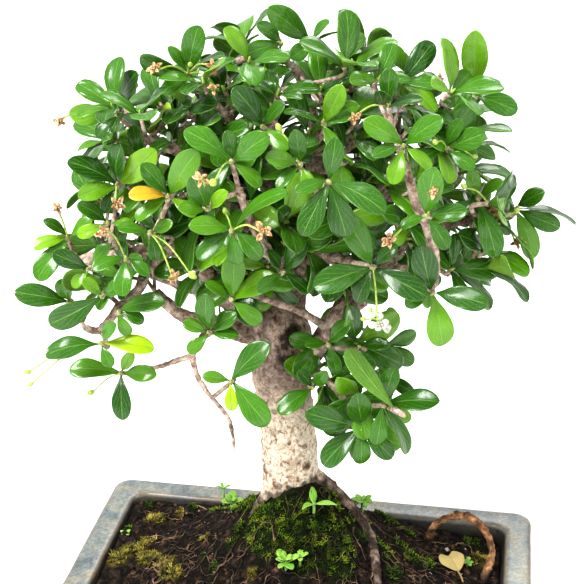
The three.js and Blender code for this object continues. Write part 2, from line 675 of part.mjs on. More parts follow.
// A pointed blade with extra all round, for the room that a leaf keeps
function bladeRoom(leaf, extra) {
  const { at, half, thick } = bladeFrame(leaf, extra);
  const { edge, rib } = ROOM_BLADE;
  const points = [
    at(0, 0, 0),
    ...edge.map(([share, out]) => at(share, out * half, 0)),
    at(1, 0, 0),
    ...edge.map(([share, out]) => at(share, -out * half, 0)),
    ...rib.map((share) => at(share, 0, thick)),
    ...rib.map((share) => at(share, 0, -thick)),
  ];
  const upper = [[0, 1, 8], [8, 1, 2], [8, 2, 9], [9, 2, 3], [9, 3, 4]];
  const mirrored = upper.map(([a, b, c]) => [a, c, b].map((i) => (i >= 1 && i <= 3 ? i + 4 : i)));
  const top = [...upper, ...mirrored];
  const under = top.map(([a, b, c]) => [a, c, b].map((i) => (i >= 8 ? i + 2 : i)));
  return solid(indexed(points, [...top, ...under]));
}

// One blade as a body of its own, standing on the four corners of its foot
function bladeBody(leaf) {
  const { corners } = leaf;
  const { points, faces } = bladeSkin(leaf, { leftLow: 0, rightLow: 1, leftTop: 2, rightTop: 3 }, 4);
  return solid(indexed([...corners, ...points], [...faces, [0, 1, 3], [0, 3, 2]]));
}

// The leaf after one of the bends, turned about its foot
function bent(leaf, [lean, swing]) {
  const along = leaf.tip.clone().sub(leaf.base);
  const side = along.clone().cross(leaf.face).normalize();
  along.applyAxisAngle(side, radians(lean)).applyAxisAngle(leaf.face, radians(swing));
  const face = leaf.face.clone().applyAxisAngle(side, radians(lean));
  return { ...leaf, tip: leaf.base.clone().add(along), face };
}

// The hub that ends a shoot: one face for each leaf, with blank faces where two leaves stand wide apart
function hubOf(line, axis, leaves) {
  const first = anyAcross(axis);
  first.addScaledVector(axis, -first.dot(axis)).normalize();
  const second = axis.clone().cross(first);
  const centre = line[line.length - 1];
  const slots = leaves.map((leaf) => {
    const out = leaf.tip.clone().sub(centre);
    return { leaf, angle: Math.atan2(out.dot(second), out.dot(first)) };
  });
  slots.sort((a, b) => a.angle - b.angle);
  const filled = slots.flatMap((slot, i) => {
    const next = i + 1 < slots.length ? slots[i + 1].angle : slots[0].angle + 2 * Math.PI;
    const blanks = Math.max(0, Math.round((next - slot.angle) / BLANK_TURN) - 1);
    const step = (next - slot.angle) / (blanks + 1);
    return [slot, ...Array.from({ length: blanks }, (_, k) => ({ angle: slot.angle + (k + 1) * step }))];
  });
  const edges = filled.map((slot, i) => {
    const next = i + 1 < filled.length ? filled[i + 1].angle : filled[0].angle + 2 * Math.PI;
    return (slot.angle + next) / 2;
  });
  const rim = (angle, height) =>
    around(centre, first, second, HUB_RADIUS, angle).addScaledVector(axis, height);
  filled.forEach((slot, i) => {
    if (!slot.leaf) return;
    const from = edges[(i + edges.length - 1) % edges.length];
    const to = edges[i];
    const corners = [rim(from, -HUB_HEIGHT), rim(to, -HUB_HEIGHT), rim(from, 0), rim(to, 0)];
    slot.leaf.corners = [corners[1], corners[0], corners[3], corners[2]];
    slot.leaf.base = corners.reduce((sum, p) => sum.add(p), vector(0, 0, 0)).divideScalar(4);
  });
  return { first, axis, edges, slots: filled };
}

// Rings of a shoot from its spring to the top of its hub, on the same angles as the hub
function shootRings(line, hub, extra = 0) {
  const last = line.length - 1;
  const ringAt = (centre, normal, along, radius) => {
    const side = along.clone().cross(normal);
    return hub.edges.map((angle) => around(centre, normal, side, radius, angle));
  };
  const hubRing = (lift) =>
    ringAt(line[last].clone().addScaledVector(hub.axis, lift), hub.first, hub.axis, HUB_RADIUS + extra);
  const rings = [hubRing(extra), hubRing(-HUB_HEIGHT - extra)];
  const normal = hub.first.clone();
  for (let i = last - 1; i >= 0; i--) {
    const along = line[i + 1].clone().sub(line[Math.max(i - 1, 0)]).normalize();
    normal.addScaledVector(along, -normal.dot(along)).normalize();
    const radius = between(TWIG_TIP_RADIUS, TWIG_RADIUS, (last - i) / last) + extra;
    rings.push(ringAt(line[i], normal, along, radius));
  }
  return rings.reverse();
}

// Leaves of a rosette whose tips are seen from the front
function seenLeaves(row, line, [middle, ...tips]) {
  const centre = line[line.length - 1];
  return tips.map(([across, down, roll = 0], i) => {
    const lean = radians(between(...SEEN_LEAVES.lean, draw(row, i, 1)));
    const flat = seen([across, down, middle[2]]).distanceTo(centre);
    const tip = seen([across, down, middle[2] + flat * Math.tan(lean)]);
    const along = tip.clone().sub(centre).normalize();
    const turned = (draw(row, i, 2) - 0.5) * SEEN_LEAVES.roll + (draw(row, i, 3) < 0.5 ? -roll : roll);
    const face = VIEWER.clone().addScaledVector(UP, RISE_OF_AXES).normalize();
    face.applyAxisAngle(along, radians(turned));
    const wide = tip.distanceTo(centre) * between(...SEEN_LEAVES.width, draw(row, i, 4));
    const width = THREE.MathUtils.clamp(wide, SHORTEST_WIDTH, LARGEST_WIDTH);
    return { tip, face, width, form: FINE_BLADE };
  });
}

// Leaves of a rosette by rule: evenly round its axis, leaning off it
function evenLeaves(row, line, axis) {
  const centre = line[line.length - 1];
  const first = UP.clone().cross(axis).normalize();
  const second = axis.clone().cross(first);
  return Array.from({ length: LEAVES_BY_RULE }, (_, i) => {
    const uneven = RULED_LEAVES.uneven * (draw(row, i, 6) - 0.5);
    const angle = 2 * Math.PI * (i / LEAVES_BY_RULE + draw(row, 0, 5) + uneven);
    const lean = radians(between(...RULED_LEAVES.lean, draw(row, i, 7)));
    const length = between(...RULED_LEAVES.length, draw(row, i, 8));
    const along = around(vector(0, 0, 0), first, second, Math.cos(lean), angle);
    along.addScaledVector(axis, Math.sin(lean));
    const tip = centre.clone().addScaledVector(along, length);
    const face = axis.clone().applyAxisAngle(along, radians(RULED_LEAVES.roll * (draw(row, i, 9) - 0.5)));
    return { tip, face, width: length * BLADE_WIDTH_SHARE, form: PLAIN_BLADE };
  });
}

// The places on the limbs that a shoot can spring from, with the limb's radius and direction there
const SPRINGS = Object.entries(limbLines).flatMap(([name, points]) =>
  points.slice(1).flatMap((to, i) => {
    const from = points[i];
    const along = to.clone().sub(from).normalize();
    return Array.from({ length: SPRINGS_PER_STRETCH + 1 }, (_, k) => {
      const share = k / SPRINGS_PER_STRETCH;
      const radius = limbRadius(name, (i + share) / (points.length - 1));
      return { place: from.clone().lerp(to, share), along, radius };
    });
  }),
);

function nearest(springs, target) {
  const away = (spring) => spring.place.distanceTo(target);
  return springs.reduce((best, spring) => (away(spring) < away(best) ? spring : best));
}

// A shoot from the nearest spring to a knee behind its rosette, then out along the rosette's axis. It starts
// at the bark of its limb.
function shoot(springs, centre, axis) {
  const knee = centre.clone().addScaledVector(axis, -SPUR_LENGTH);
  const spring = nearest(springs, knee);
  const out = knee.clone().sub(spring.place);
  const distance = out.length();
  out.divideScalar(Math.max(distance, 0.001));
  const slant = Math.sqrt(Math.max(1 - out.dot(spring.along) ** 2, 0));
  const bark = spring.radius ? spring.radius * slant + GAP + BARK_ROUGHNESS : 0;
  const from = spring.place.clone().addScaledVector(out, bark);
  return distance - bark < SPUR_LENGTH / 4 ? [from, centre] : [from, knee, centre];
}

// One rosette: the line of its shoot, its leaves and its hub
function rosetteOf(springs, centre, axis, leavesOn) {
  const line = shoot(springs, centre, axis);
  const leaves = leavesOn(line);
  return { line, leaves, hub: hubOf(line, axis, leaves) };
}

// The place on a shoot that the other shoots of its spray spring from
const kneeOf = ({ line }) => ({ place: line[line.length - 2], along: vector(0, 0, 0), radius: 0 });

// The sprays set out by hand. Each of their rosettes has one place, and springs from the first one's shoot.
function frontSprays() {
  let row = 0;
  return Object.entries(SPRAYS).map(([name, rosettes]) => ({
    name,
    parts: rosettes.map((rosette) => {
      const own = row++;
      return (first) => {
        const springs = first ? [kneeOf(first)] : SPRINGS;
        return [rosetteOf(springs, seen(rosette[0]), VIEWER, (line) => seenLeaves(own, line, rosette))];
      };
    }),
  }));
}

// The sprays that follow a rule. Each of their rosettes has a few places to try, nearest first.
function ruledSprays() {
  const sprays = [];
  const middle = seen(CROWN.middle);
  const place = (across, deep, high) =>
    RIGHT.clone().multiplyScalar(across).addScaledVector(BACK, deep).addScaledVector(UP, high);
  for (let i = 0; i < CROWN.points; i++) {
    const high = 1 - (2 * (i + 0.5)) / CROWN.points;
    const across = Math.sqrt(1 - high * high) * Math.cos(i * GOLDEN_TURN);
    const deep = Math.sqrt(1 - high * high) * Math.sin(i * GOLDEN_TURN);
    if (high < CROWN.lowest) continue;
    const sizes = deep < CROWN.foremost ? INNER_SIZES : OUTER_SIZES;
    const out = place(across, deep, high + RISE_OF_AXES).normalize();
    const sideways = out.clone().cross(UP).normalize();
    const reach = place(across * CROWN.across, deep * CROWN.deep, high * CROWN.high);
    const row = RULED_ROW * (i + 1);
    const firstPlaces = sizes.map((size) => reach.clone().multiplyScalar(size).add(middle));
    const sidePlaces = ({ line }, k) =>
      SIDE_TURNS.map((turned) => {
        const turn = radians(SIDE_SPREAD * draw(i, k, 10) + 180 * k + turned);
        const upwards = UP.clone().multiplyScalar(SIDE_FLATTENING);
        return around(line[line.length - 1], sideways, upwards, SIDE_REACH, turn)
          .addScaledVector(out, -SIDE_SET_BACK);
      });
    const grow = (springs, centre, k) =>
      rosetteOf(springs, centre, out, (line) => evenLeaves(row + k, line, out));
    const first = () => firstPlaces.map((centre) => grow(SPRINGS, centre, 0));
    const sides = Array.from({ length: ROSETTES_BY_RULE - 1 }, (_, k) => (grown) =>
      sidePlaces(grown, k + 1).map((centre) => grow([kneeOf(grown)], centre, k + 1)),
    );
    sprays.push({ name: `inner_${sprays.length + 1}`, parts: [first, ...sides] });
  }
  return sprays;
}

// The whole skin of a rosette: its shoot, its hub and the blades that grow from the faces of the hub
function rosetteBody({ line, hub }) {
  const rings = shootRings(line, hub);
  const count = hub.edges.length;
  const points = rings.flat();
  const faces = [];
  for (let r = 0; r + 1 < rings.length; r++)
    for (let i = 0; i < count; i++) {
      const a = r * count + i;
      const b = r * count + ((i + 1) % count);
      const leaf = hub.slots[(i + 1) % count].leaf;
      if (r + 2 === rings.length && leaf?.grown) {
        const foot = { leftLow: b, rightLow: a, leftTop: b + count, rightTop: a + count };
        const skin = bladeSkin(leaf, foot, points.length);
        points.push(...skin.points);
        faces.push(...skin.faces);
      } else faces.push([a, b, b + count], [a, b + count, a + count]);
    }
  const end = (rings.length - 1) * count;
  for (let i = 1; i + 1 < count; i++) faces.push([0, i + 1, i], [end, end + i, end + i + 1]);
  return solid(indexed(points, faces));
}

// A flower or bud: a five-pointed star on a thread-like stalk
function flower(from, to, size) {
  const halfway = from.clone().lerp(to, 0.5).addScaledVector(UP, FLOWER_STALK_BOW);
  const stalk = kneedStem([from, halfway, to], () => FLOWER_STALK_RADIUS, 3);
  const corners = 2 * PETALS;
  const points = [];
  const faces = [];
  for (let i = 0; i < corners; i++) {
    const reach = i % 2 ? PETAL_WAIST * size : size;
    const next = (i + 1) % corners;
    points.push(around(to, RIGHT, SIGHT_UP, reach, (i / corners) * 2 * Math.PI));
    faces.push([i, next, corners], [next, i, corners + 1]);
  }
  points.push(to.clone().addScaledVector(VIEWER, FLOWER_FRONT));
  points.push(to.clone().addScaledVector(VIEWER, -FLOWER_BACK));
  return stalk.add(solid(indexed(points, faces)));
}

const boxed = (body) => ({ body, box: body.boundingBox() });
const boxesMeet = (a, b) => [0, 1, 2].every((i) => a.min[i] <= b.max[i] && b.min[i] <= a.max[i]);

function crosses(body, others) {
  const box = body.boundingBox();
  return others.some((o) => boxesMeet(box, o.box) && body.intersect(o.body).volume() > LARGEST_TOUCH);
}

// Gives each spray its shoots. A shoot takes the first place where it is clear of the wood and of the shoots
// of other sprays.
function growShoots(sprays, woodRoom, fixed) {
  const rooms = [];
  for (const spray of sprays) {
    const grown = [];
    const others = [...rooms];
    const free = (part) => {
      part.stem = boxed(solid(loft(shootRings(part.line, part.hub))));
      const { body } = part.stem;
      if (crosses(body, others.map((o) => o.room))) return false;
      return grown.length ? !crosses(body, fixed) : body.subtract(woodRoom).decompose().length === 1;
    };
    for (const places of spray.parts) {
      const part = places(grown[0]).find(free);
      if (part) grown.push(part);
      else if (!grown.length) break;
    }
    const roomOf = ({ line, hub }) => boxed(solid(loft(shootRings(line, hub, LEAF_CLEARANCE))));
    rooms.push(...grown.map((part) => ({ spray, room: roomOf(part) })));
    spray.parts = grown;
    spray.blades = [];
  }
  return rooms;
}

// Gives a spray its blades, each bent until it is clear of the wood, the soil and all other leaves
function growBlades(spray, neighbours) {
  for (const part of spray.parts) {
    for (const slot of part.hub.slots) {
      if (!slot.leaf) continue;
      const own = [...spray.blades, ...spray.parts.map((p) => p.stem)];
      const clear = (leaf) =>
        !crosses(bladeRoom(leaf, LEAF_CLEARANCE), neighbours) &&
        !crosses(bladeBody(leaf), [...neighbours, ...own]);
      const leaf = BENDS.map((bend) => bent(slot.leaf, bend)).find(clear);
      if (!leaf) continue;
      slot.leaf = { ...leaf, grown: true };
      part.grown = true;
      spray.blades.push(boxed(bladeBody(leaf)));
    }
  }
}

// The flowers of a spray, each on a stalk from the nearest rosette
function flowersOn(spray, parts, neighbours) {
  const ends = parts.map(({ line }) => ({ place: line[line.length - 1] }));
  return FLOWERS.filter(([owner]) => owner === spray.name).flatMap(([, place, size]) => {
    const to = seen(place);
    const from = nearest(ends, to).place.clone().addScaledVector(VIEWER, -HUB_HEIGHT / 2);
    const made = flower(from, to, size);
    return crosses(made, neighbours) ? [] : [made];
  });
}

// Grows every spray: all the shoots first, then the blades and the flowers
function growSprays(woodRoom, ground) {
  const fixed = [boxed(woodRoom), ...ground.map(boxed)];
  const sprays = [...frontSprays(), ...ruledSprays()];
  const rooms = growShoots(sprays, woodRoom, fixed);
  for (const spray of sprays) {
    const others = sprays.filter((s) => s !== spray);
    const shootsOfOthers = rooms.filter((r) => r.spray !== spray).map((r) => r.room);
    const neighbours = [...fixed, ...shootsOfOthers, ...others.flatMap((s) => s.blades)];
    growBlades(spray, neighbours);
    const parts = spray.parts.filter((part) => part.grown);
    if (!parts.length) continue;
    const flowers = flowersOn(spray, parts, neighbours);
    spray.blades.push(...flowers.map(boxed));
    spray.body = largest(join([...parts.map(rosetteBody), ...flowers]).subtract(woodRoom));
  }
  return sprays.filter((spray) => spray.body);
}

// A low arch of root that leaves the soil and dives back into it
function archedRoot(extra = 0) {
  const first = onSoil(ARCH[0]);
  const last = onSoil(ARCH[ARCH.length - 1]);
  const towardOf = (place) => TRUNK_PLACE.clone().sub(place).dot(BACK);
  const points = ARCH.map(([across, down], i) => {
    const toward = between(towardOf(first), towardOf(last), i / (ARCH.length - 1));
    return seen([across, down, toward]);
  });
  const sunk = (place) => place.clone().addScaledVector(UP, -ARCH_SUNK);
  const waves = (share) => ARCH_WAVES.depth * Math.sin(share * ARCH_WAVES.pace);
  const radius = (share) => ARCH_RADIUS * (1 + waves(share)) + extra;
  return stem(route([sunk(first), ...points, sunk(last)]), radius, ROOT_SIDES, ARCH_SEGMENTS);
}

// A seedling or weed: leaves round the top of a short stalk that stands in the soil
function herb({ place, stalk, leaves, turn, length, rise }) {
  const foot = onSoil(place);
  const top = foot.clone().addScaledVector(UP, stalk);
  const line = new THREE.LineCurve3(foot.clone().addScaledVector(UP, -HERB_SUNK), top);
  const blades = Array.from({ length: leaves }, (_, i) => {
    const angle = radians(turn + (i * 360) / leaves);
    const size = length * between(...HERB_LEAF_SIZES, draw(place[0], i, 12));
    const along = vector(Math.cos(angle), Math.sin(angle), rise).normalize();
    const base = top.clone().addScaledVector(UP, -HERB_TOP_LEAF - HERB_LEAF_ZONE * (i / leaves));
    const tip = base.clone().addScaledVector(along, size);
    return bladeRoom({ base, tip, face: UP.clone(), width: size * BLADE_WIDTH_SHARE }, 0);
  });
  const body = stem(line, () => HERB_STALK_RADIUS, HERB_SIDES, 1);
  const room = stem(line, () => HERB_STALK_RADIUS + GAP, HERB_SIDES, 1);
  return { body: join([body, ...blades]), room };
}

// A leaf that has dropped onto the soil and curled a little
function fallenLeaf() {
  const middle = onSoil(FALLEN_LEAF.place);
  const along = RIGHT.clone().applyAxisAngle(UP, radians(FALLEN_LEAF.turn));
  const { length, lift, tilt } = FALLEN_LEAF;
  const base = middle.clone().addScaledVector(along, -length / 2).addScaledVector(UP, lift);
  const tip = middle.clone().addScaledVector(along, length / 2).addScaledVector(UP, lift + tilt);
  return bladeRoom({ base, tip, face: UP.clone(), width: length / 2 }, 0);
}

const tan = new THREE.MeshStandardMaterial({ color: 0x9c8468, roughness: 0.9, metalness: 0 });
const brown = new THREE.MeshStandardMaterial({ color: 0x7a4b2c, roughness: 0.9, metalness: 0 });
const darkSoil = new THREE.MeshStandardMaterial({ color: 0x2a2018, roughness: 1, metalness: 0 });
const glaze = new THREE.MeshStandardMaterial({ color: 0x93a5ac, roughness: 0.35, metalness: 0 });
const leafGreen = new THREE.MeshStandardMaterial({ color: 0x1f6b1c, roughness: 0.35, metalness: 0 });
const youngGreen = new THREE.MeshStandardMaterial({ color: 0x6aa62c, roughness: 0.5, metalness: 0 });
const dryLeaf = new THREE.MeshStandardMaterial({ color: 0xb99a5a, roughness: 0.8, metalness: 0 });

const woodRoom = tree(GAP);
const herbs = HERBS.map((h) => ({ name: h.name, ...herb(h) }));
const holes = join([woodRoom, archedRoot(GAP), ...herbs.map((h) => h.room)]);
const soil = largest(soilBody().subtract(holes));
const sprays = growSprays(woodRoom, [...herbs.map((h) => h.body), soil]);

const model = new THREE.Group();
model.add(meshOf("pot", pot(), glaze));
model.add(meshOf("soil", soil, darkSoil));
model.add(meshOf("tree", tree(), tan));
model.add(meshOf("arched_root", archedRoot(), brown));
for (const { name, body } of herbs) model.add(meshOf(name, body, youngGreen));
model.add(meshOf("fallen_leaf", fallenLeaf(), dryLeaf));
for (const spray of sprays) model.add(meshOf(`spray_${spray.name}`, spray.body, leafGreen));

export default model;
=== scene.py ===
"""The looks of a Fukien tea bonsai: its bark, leaves, flowers, moss, soil and glaze. Metres, +Z up."""
import itertools
import math
import random

import bmesh
import bpy
from mathutils import Matrix, Vector, geometry, noise
from mathutils.kdtree import KDTree


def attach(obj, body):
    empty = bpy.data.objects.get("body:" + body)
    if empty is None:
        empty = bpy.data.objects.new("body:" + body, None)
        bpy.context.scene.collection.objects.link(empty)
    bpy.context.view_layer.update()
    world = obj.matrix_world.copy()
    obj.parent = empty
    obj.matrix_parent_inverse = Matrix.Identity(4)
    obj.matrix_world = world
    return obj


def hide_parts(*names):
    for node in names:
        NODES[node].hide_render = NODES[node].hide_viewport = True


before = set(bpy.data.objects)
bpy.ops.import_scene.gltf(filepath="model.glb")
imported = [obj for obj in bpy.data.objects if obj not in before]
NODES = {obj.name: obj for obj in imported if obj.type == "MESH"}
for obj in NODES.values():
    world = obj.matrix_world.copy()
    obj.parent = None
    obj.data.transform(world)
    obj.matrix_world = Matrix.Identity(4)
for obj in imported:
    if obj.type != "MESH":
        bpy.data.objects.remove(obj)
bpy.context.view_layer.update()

MM = 0.001
UP = Vector((0, 0, 1))
# Ranges in radians: where a ripple or a flower starts, and how far small things are turned
PHASES = (0, 6)
HEADINGS = (0, 6.3)

# The front view that the tree is set out in: its eye, its turn and dip, and its size in its own units
EYE = Vector((0.0906, -0.5572, 0.4715))
TURN = math.radians(9.4)
DIP = math.radians(23.5)
FOCAL = 1324
VIEW_SIZE = 584
TRUNK_PLACE = Vector((-0.007, 0.027, 0))
RIGHT = Vector((math.cos(TURN), math.sin(TURN), 0))
BACK = Vector((-math.sin(TURN), math.cos(TURN), 0))
SIGHT = BACK * math.cos(DIP) - UP * math.sin(DIP)
SIGHT_UP = BACK * math.sin(DIP) + UP * math.cos(DIP)

# The pot and its soil
POT_LENGTH = 0.240
POT_DEPTH = 0.180
POT_HEIGHT = 0.060
RIM_WIDTH = 0.014
WALL_TAPER = 0.011
FLOOR_THICKNESS = 0.010
SOIL_LEVEL = POT_HEIGHT - 0.009
SOIL_GAP = 0.0004
MOUND_HEIGHT = 0.066
MOUND_SPREAD = 0.042
MOUND_SHAPE = 1.5
BANK_AT_WALL = 0.005
BANK_SLOPE = 1.5
LUMP_HEIGHT = 0.0015
LEFT_BANK = 0.0048
MOUND_TOP = TRUNK_PLACE + RIGHT * 0.004 - BACK * 0.004
# Where the soil is looked for along a line of sight, in millimetres in front of the trunk
NEAREST_SOIL = 130
FARTHEST_SOIL = -60
SOIL_SEARCH_STEP = 0.25

# The wood. Routes are places in the front view, with the millimetres that each stands in front of the trunk.
TRUNK_LINE = [
    (291, 556, 2), (290, 520, 1), (290, 484, 0), (289, 440, 0), (285, 402, 0), (281, 366, 0), (283, 330, 0),
    (287, 306, -2),
]
TRUNK_FOOT_RADIUS = 0.0154
TRUNK_FORK_RADIUS = 0.0134
FORK_SWELLING = 0.0016
TRUNK_TOP_TAPER = 0.005
# How fast the trunk narrows, and the shares of its height where the fork swells and where its top tapers
TRUNK_NARROWING = 1.1
FORK_PLACE = 0.78
FORK_REACH = 0.1
TOP_TAPER_FROM = 0.88
TRUNK_SIDES = 28
LIMB_SIDES = 12
LIMB_TAPER = 0.8
LIMBS = {
    "leader": (10.4, 3, [
        (284, 334, 0), (290, 295, -4), (299, 258, -4), (308, 222, 4), (314, 186, 18), (311, 155, 22)]),
    "left_stub": (6.2, 2.8, [(276, 340, 0), (240, 332, 6), (210, 322, 12), (183, 316, 15), (155, 292, 15)]),
    "left_main": (6.4, 3, [
        (278, 330, 0), (232, 302, 4), (207, 270, 8), (182, 249, 10), (158, 247, 14), (128, 256, 18),
        (98, 258, 14), (78, 262, 10)]),
    "left_low": (3.4, 1.8, [
        (170, 247, 12), (147, 268, 20), (140, 288, 24), (121, 306, 28), (100, 330, 30), (84, 327, 26)]),
    "left_high": (5, 1.8, [
        (294, 276, -3), (262, 238, 4), (233, 207, 14), (205, 180, 20), (179, 152, 24), (158, 146, 22),
        (140, 134, 18)]),
    "left_top": (4.2, 1.7, [(304, 236, 0), (276, 192, 2), (252, 152, 4), (227, 115, 6), (204, 99, 8)]),
    "cut_stub": (3.6, 2.4, [(310, 214, 6), (286, 172, 20), (272, 133, 28), (273, 112, 28), (267, 84, 26)]),
    "top": (3.6, 1.6, [
        (314, 180, 16), (318, 140, 2), (306, 100, -6), (299, 75, 0), (284, 61, 5), (262, 56, 8),
        (236, 61, 10)]),
    "top_twig": (2, 1.5, [(306, 100, -6), (313, 72, -6)]),
    "right_main": (6, 3.4, [
        (288, 366, 2), (312, 354, 12), (332, 322, 14), (352, 306, 15), (372, 289, 15), (386, 266, 18),
        (396, 246, 14)]),
    "right_bare": (3.4, 1.8, [
        (384, 270, 16), (404, 272, 30), (424, 284, 44), (433, 282, 50), (434, 254, 56), (427, 227, 58),
        (416, 204, 58), (408, 174, 56), (398, 143, 52), (392, 130, 50)]),
    "right_out": (3.6, 1.9, [(396, 250, 14), (416, 236, 14), (440, 226, 16), (470, 219, 12), (492, 214, 7)]),
    "right_high": (3.8, 1.8, [
        (392, 258, 14), (372, 218, 4), (388, 190, 2), (405, 177, 2), (432, 150, 2), (452, 126, 2),
        (462, 116, 2)]),
    "right_top": (3.4, 1.7, [(312, 200, 10), (338, 152, -6), (370, 122, -8), (400, 114, -6), (419, 108, -6)]),
    "front_high": (3.4, 1.8, [(306, 230, 2), (312, 214, 34), (318, 204, 50), (322, 200, 58)]),
    "front_low": (3.8, 2, [(294, 280, -4), (281, 264, 32), (264, 250, 50), (250, 238, 58)]),
    "front_left": (2.6, 1.6, [(270, 254, 44), (252, 224, 46), (242, 200, 48), (238, 186, 48)]),
    "front_right": (3.4, 2, [(299, 262, 2), (326, 256, 28), (352, 262, 42)]),
    "across_trunk": (2.3, 1.5, [
        (328, 328, 14), (312, 318, 25), (299, 311, 29), (280, 304, 31), (262, 298, 31), (246, 293, 30)]),
    "low_right": (2.8, 1.6, [(296, 374, 4), (318, 374, 17), (333, 386, 24), (348, 406, 30)]),
    "low_bare": (2.1, 1, [
        (212, 324, 12), (200, 340, 26), (193, 356, 30), (199, 380, 34), (212, 398, 36), (230, 421, 38),
        (234, 451, 38)]),
    "low_left": (1.7, 1.3, [(193, 355, 30), (176, 361, 30), (158, 367, 30), (146, 369, 30)]),
    "back_left": (5.4, 1.9, [(286, 314, -2), (268, 276, -34), (236, 246, -58), (210, 226, -68)]),
    "back_right": (5.2, 1.9, [(290, 304, -2), (312, 256, -40), (330, 222, -60), (346, 198, -70)]),
    "back_out": (4.4, 1.8, [(330, 326, 12), (366, 262, -26), (410, 238, -46), (436, 222, -50)]),
    "back_top": (4, 1.8, [(302, 250, -6), (292, 192, -34), (280, 142, -46)]),
    "back_low": (4.6, 1.8, [(276, 334, -4), (228, 304, -32), (182, 286, -46), (148, 274, -46)]),
}
# Surface roots: radii, then places to the right of the trunk and in front of it, and their lift over the soil
ROOTS = [
    (5.6, 2, [(8, 0, 0), (17, 1, 0), (27, 0, -0.4), (37, 5, -0.4), (42, 14, 0), (44, 30, 0), (44, 48, -4)]),
    (6, 2.2, [(-7, 5, -2), (-17, 9, -4), (-28, 15, -5)]),
    (5.5, 2, [(3, -8, 0), (13, -16, -1), (24, -24, -4)]),
]
ARCH = [(428, 540), (436, 524), (458, 515), (478, 523), (490, 541), (491, 558), (485, 576)]
ARCH_RADIUS = 0.0023
ARCH_SUNK = 0.007
ARCH_SIDES = 18
ARCH_SWELLING = 0.14
ARCH_SWELLS = 17
ARCH_ROUGHNESS = 0.0009
ARCH_LUMPS = 0.003
ARCH_FINE_LUMPS = 0.0016
ARCH_SOIL_LINE = 0.0025
ARCH_SOILED_LOW = (0.006, 0.001)
SOILED_ARCH = 0.9

# The bark. How far its crumbs, crinkles, knots, the dimples in them and its broad forms stand in or out
BARK_GRAIN = 0.00089
CRUMB_RELIEF = 0.00035
CRINKLE_RELIEF = 0.0007
KNOT_RELIEF = 0.0011
DIMPLE_RELIEF = 0.0007
BROAD_RELIEF = 0.0009
BROAD_FORMS = 0.010
# Crinkles to the metre along each axis, and the mean that is taken off so that the wood keeps its girth
CRINKLES = Vector((420, 420, 330))
CRINKLE_MEAN = 0.7
# Where a knot and its dimple begin and end, as shares of the spacing of the knots
KNOT_SPACING = 0.0105
KNOT_EDGE = (0.36, 0.1)
KNOT_DIMPLE = (0.12, 0.02)
# The limbs against the trunk: how knotty, how dark and how rough they are
KNOTS_ON_LIMBS = 0.1
DARK_ON_LIMBS = 0.5
RELIEF_ON_LIMBS = 0.6
# The hollow below the fork, and the distances from it over which painted shade darkens the bark and the bark
# turns smooth
BARK_HOLLOW = (303, 350, 15)
HOLLOW_SHADE = (0.018, 0.006)
HOLLOW_CALM = (0.026, 0.014)
HOLLOW_SMOOTHNESS = 0.85
# The bark turns from brown to cream between these places, and over this distance from the trunk's axis
CREAM_TOP = (288, 436, 15)
BROWN_FROM = (288, 372, 15)
THICK_WOOD = (0.03, 0.02)
# Roots: how far from the trunk's axis and how low over the soil they begin, and how the earth clings to them
BESIDE_TRUNK = (0.0155, 0.019)
ROOT_LOW = (0.03, 0.014)
SOIL_LINE_STEP = 0.004
SOIL_LINE_RISE = 0.006
SOILED_LOW = (0.005, 0.001)
SOILED_FOOT = 0.85
SOILED_ROOT = 0.6

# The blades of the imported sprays. Where the pair of rib points stands along a blade follows from how many
# points its rim has, and the blades whose feet are this near each other stand on one hub.
RIB_THICKNESS = 0.0012
RIB_TOLERANCE = 0.02
RIB_PLACES = {5: 0.6, 7: 0.62}
SAME_POINT = 1e-6
HUB_REACH = 0.0045

# The shape of a blade, in shares of its length or of its half width
BLADE_ARCH = 0.09
BLADE_FOLD = 0.26
FOLD_ROUNDING = 0.35
BLADE_CURL = (-0.03, 0.09)
CURL_FROM = 0.6
BLADE_WAVE = (0.04, 0.16)
RIPPLES = 9

# The short shoots and the buds that end them
SHOOT_RADIUS = 0.00115
SHOOT_SIDES = 7
SPUR_LENGTH = 0.008
KNEE_ROOM = 0.003
HUB_SWELLING = 0.35
HUB_SWELLS_FROM = 0.85
TIP_BUD_RADIUS = 0.0009
TIP_BUD_TAPER = 0.9
TIP_BUD_RINGS = (0, 1.5, 3, 4)
BUD_SIDES = 6

# Half width of a blade against its greatest, at places along it from the foot to the tip
BLADE_OUTLINE = [
    (0, 0.1), (0.1, 0.2), (0.24, 0.54), (0.4, 0.82), (0.54, 0.97), (0.67, 1), (0.8, 0.92), (0.91, 0.7),
    (0.97, 0.42), (1, 0.14),
]
ROUND_OUTLINE = [(0, 0.12), (0.2, 0.42), (0.42, 0.84), (0.65, 1), (0.85, 0.8), (1, 0.25)]
LANCE_OUTLINE = [(0, 0.14), (0.15, 0.55), (0.36, 1), (0.58, 0.92), (0.78, 0.6), (0.92, 0.27), (1, 0.06)]
PETAL_OUTLINE = [(0, 0.35), (0.2, 0.6), (0.45, 1), (0.65, 0.9), (0.85, 0.5), (1, 0.1)]
HEART_OUTLINE = [
    (0, 0.12), (0.1, 0.5), (0.26, 0.84), (0.46, 1), (0.66, 0.98), (0.82, 0.86), (0.93, 0.66), (1, 0.4),
]
BLADE_THICKNESS = 0.00042
BLADE_SHORTENED = 0.96
YOUNG, YELLOW_GREEN, ORANGE = 0.72, 0.86, 1.0
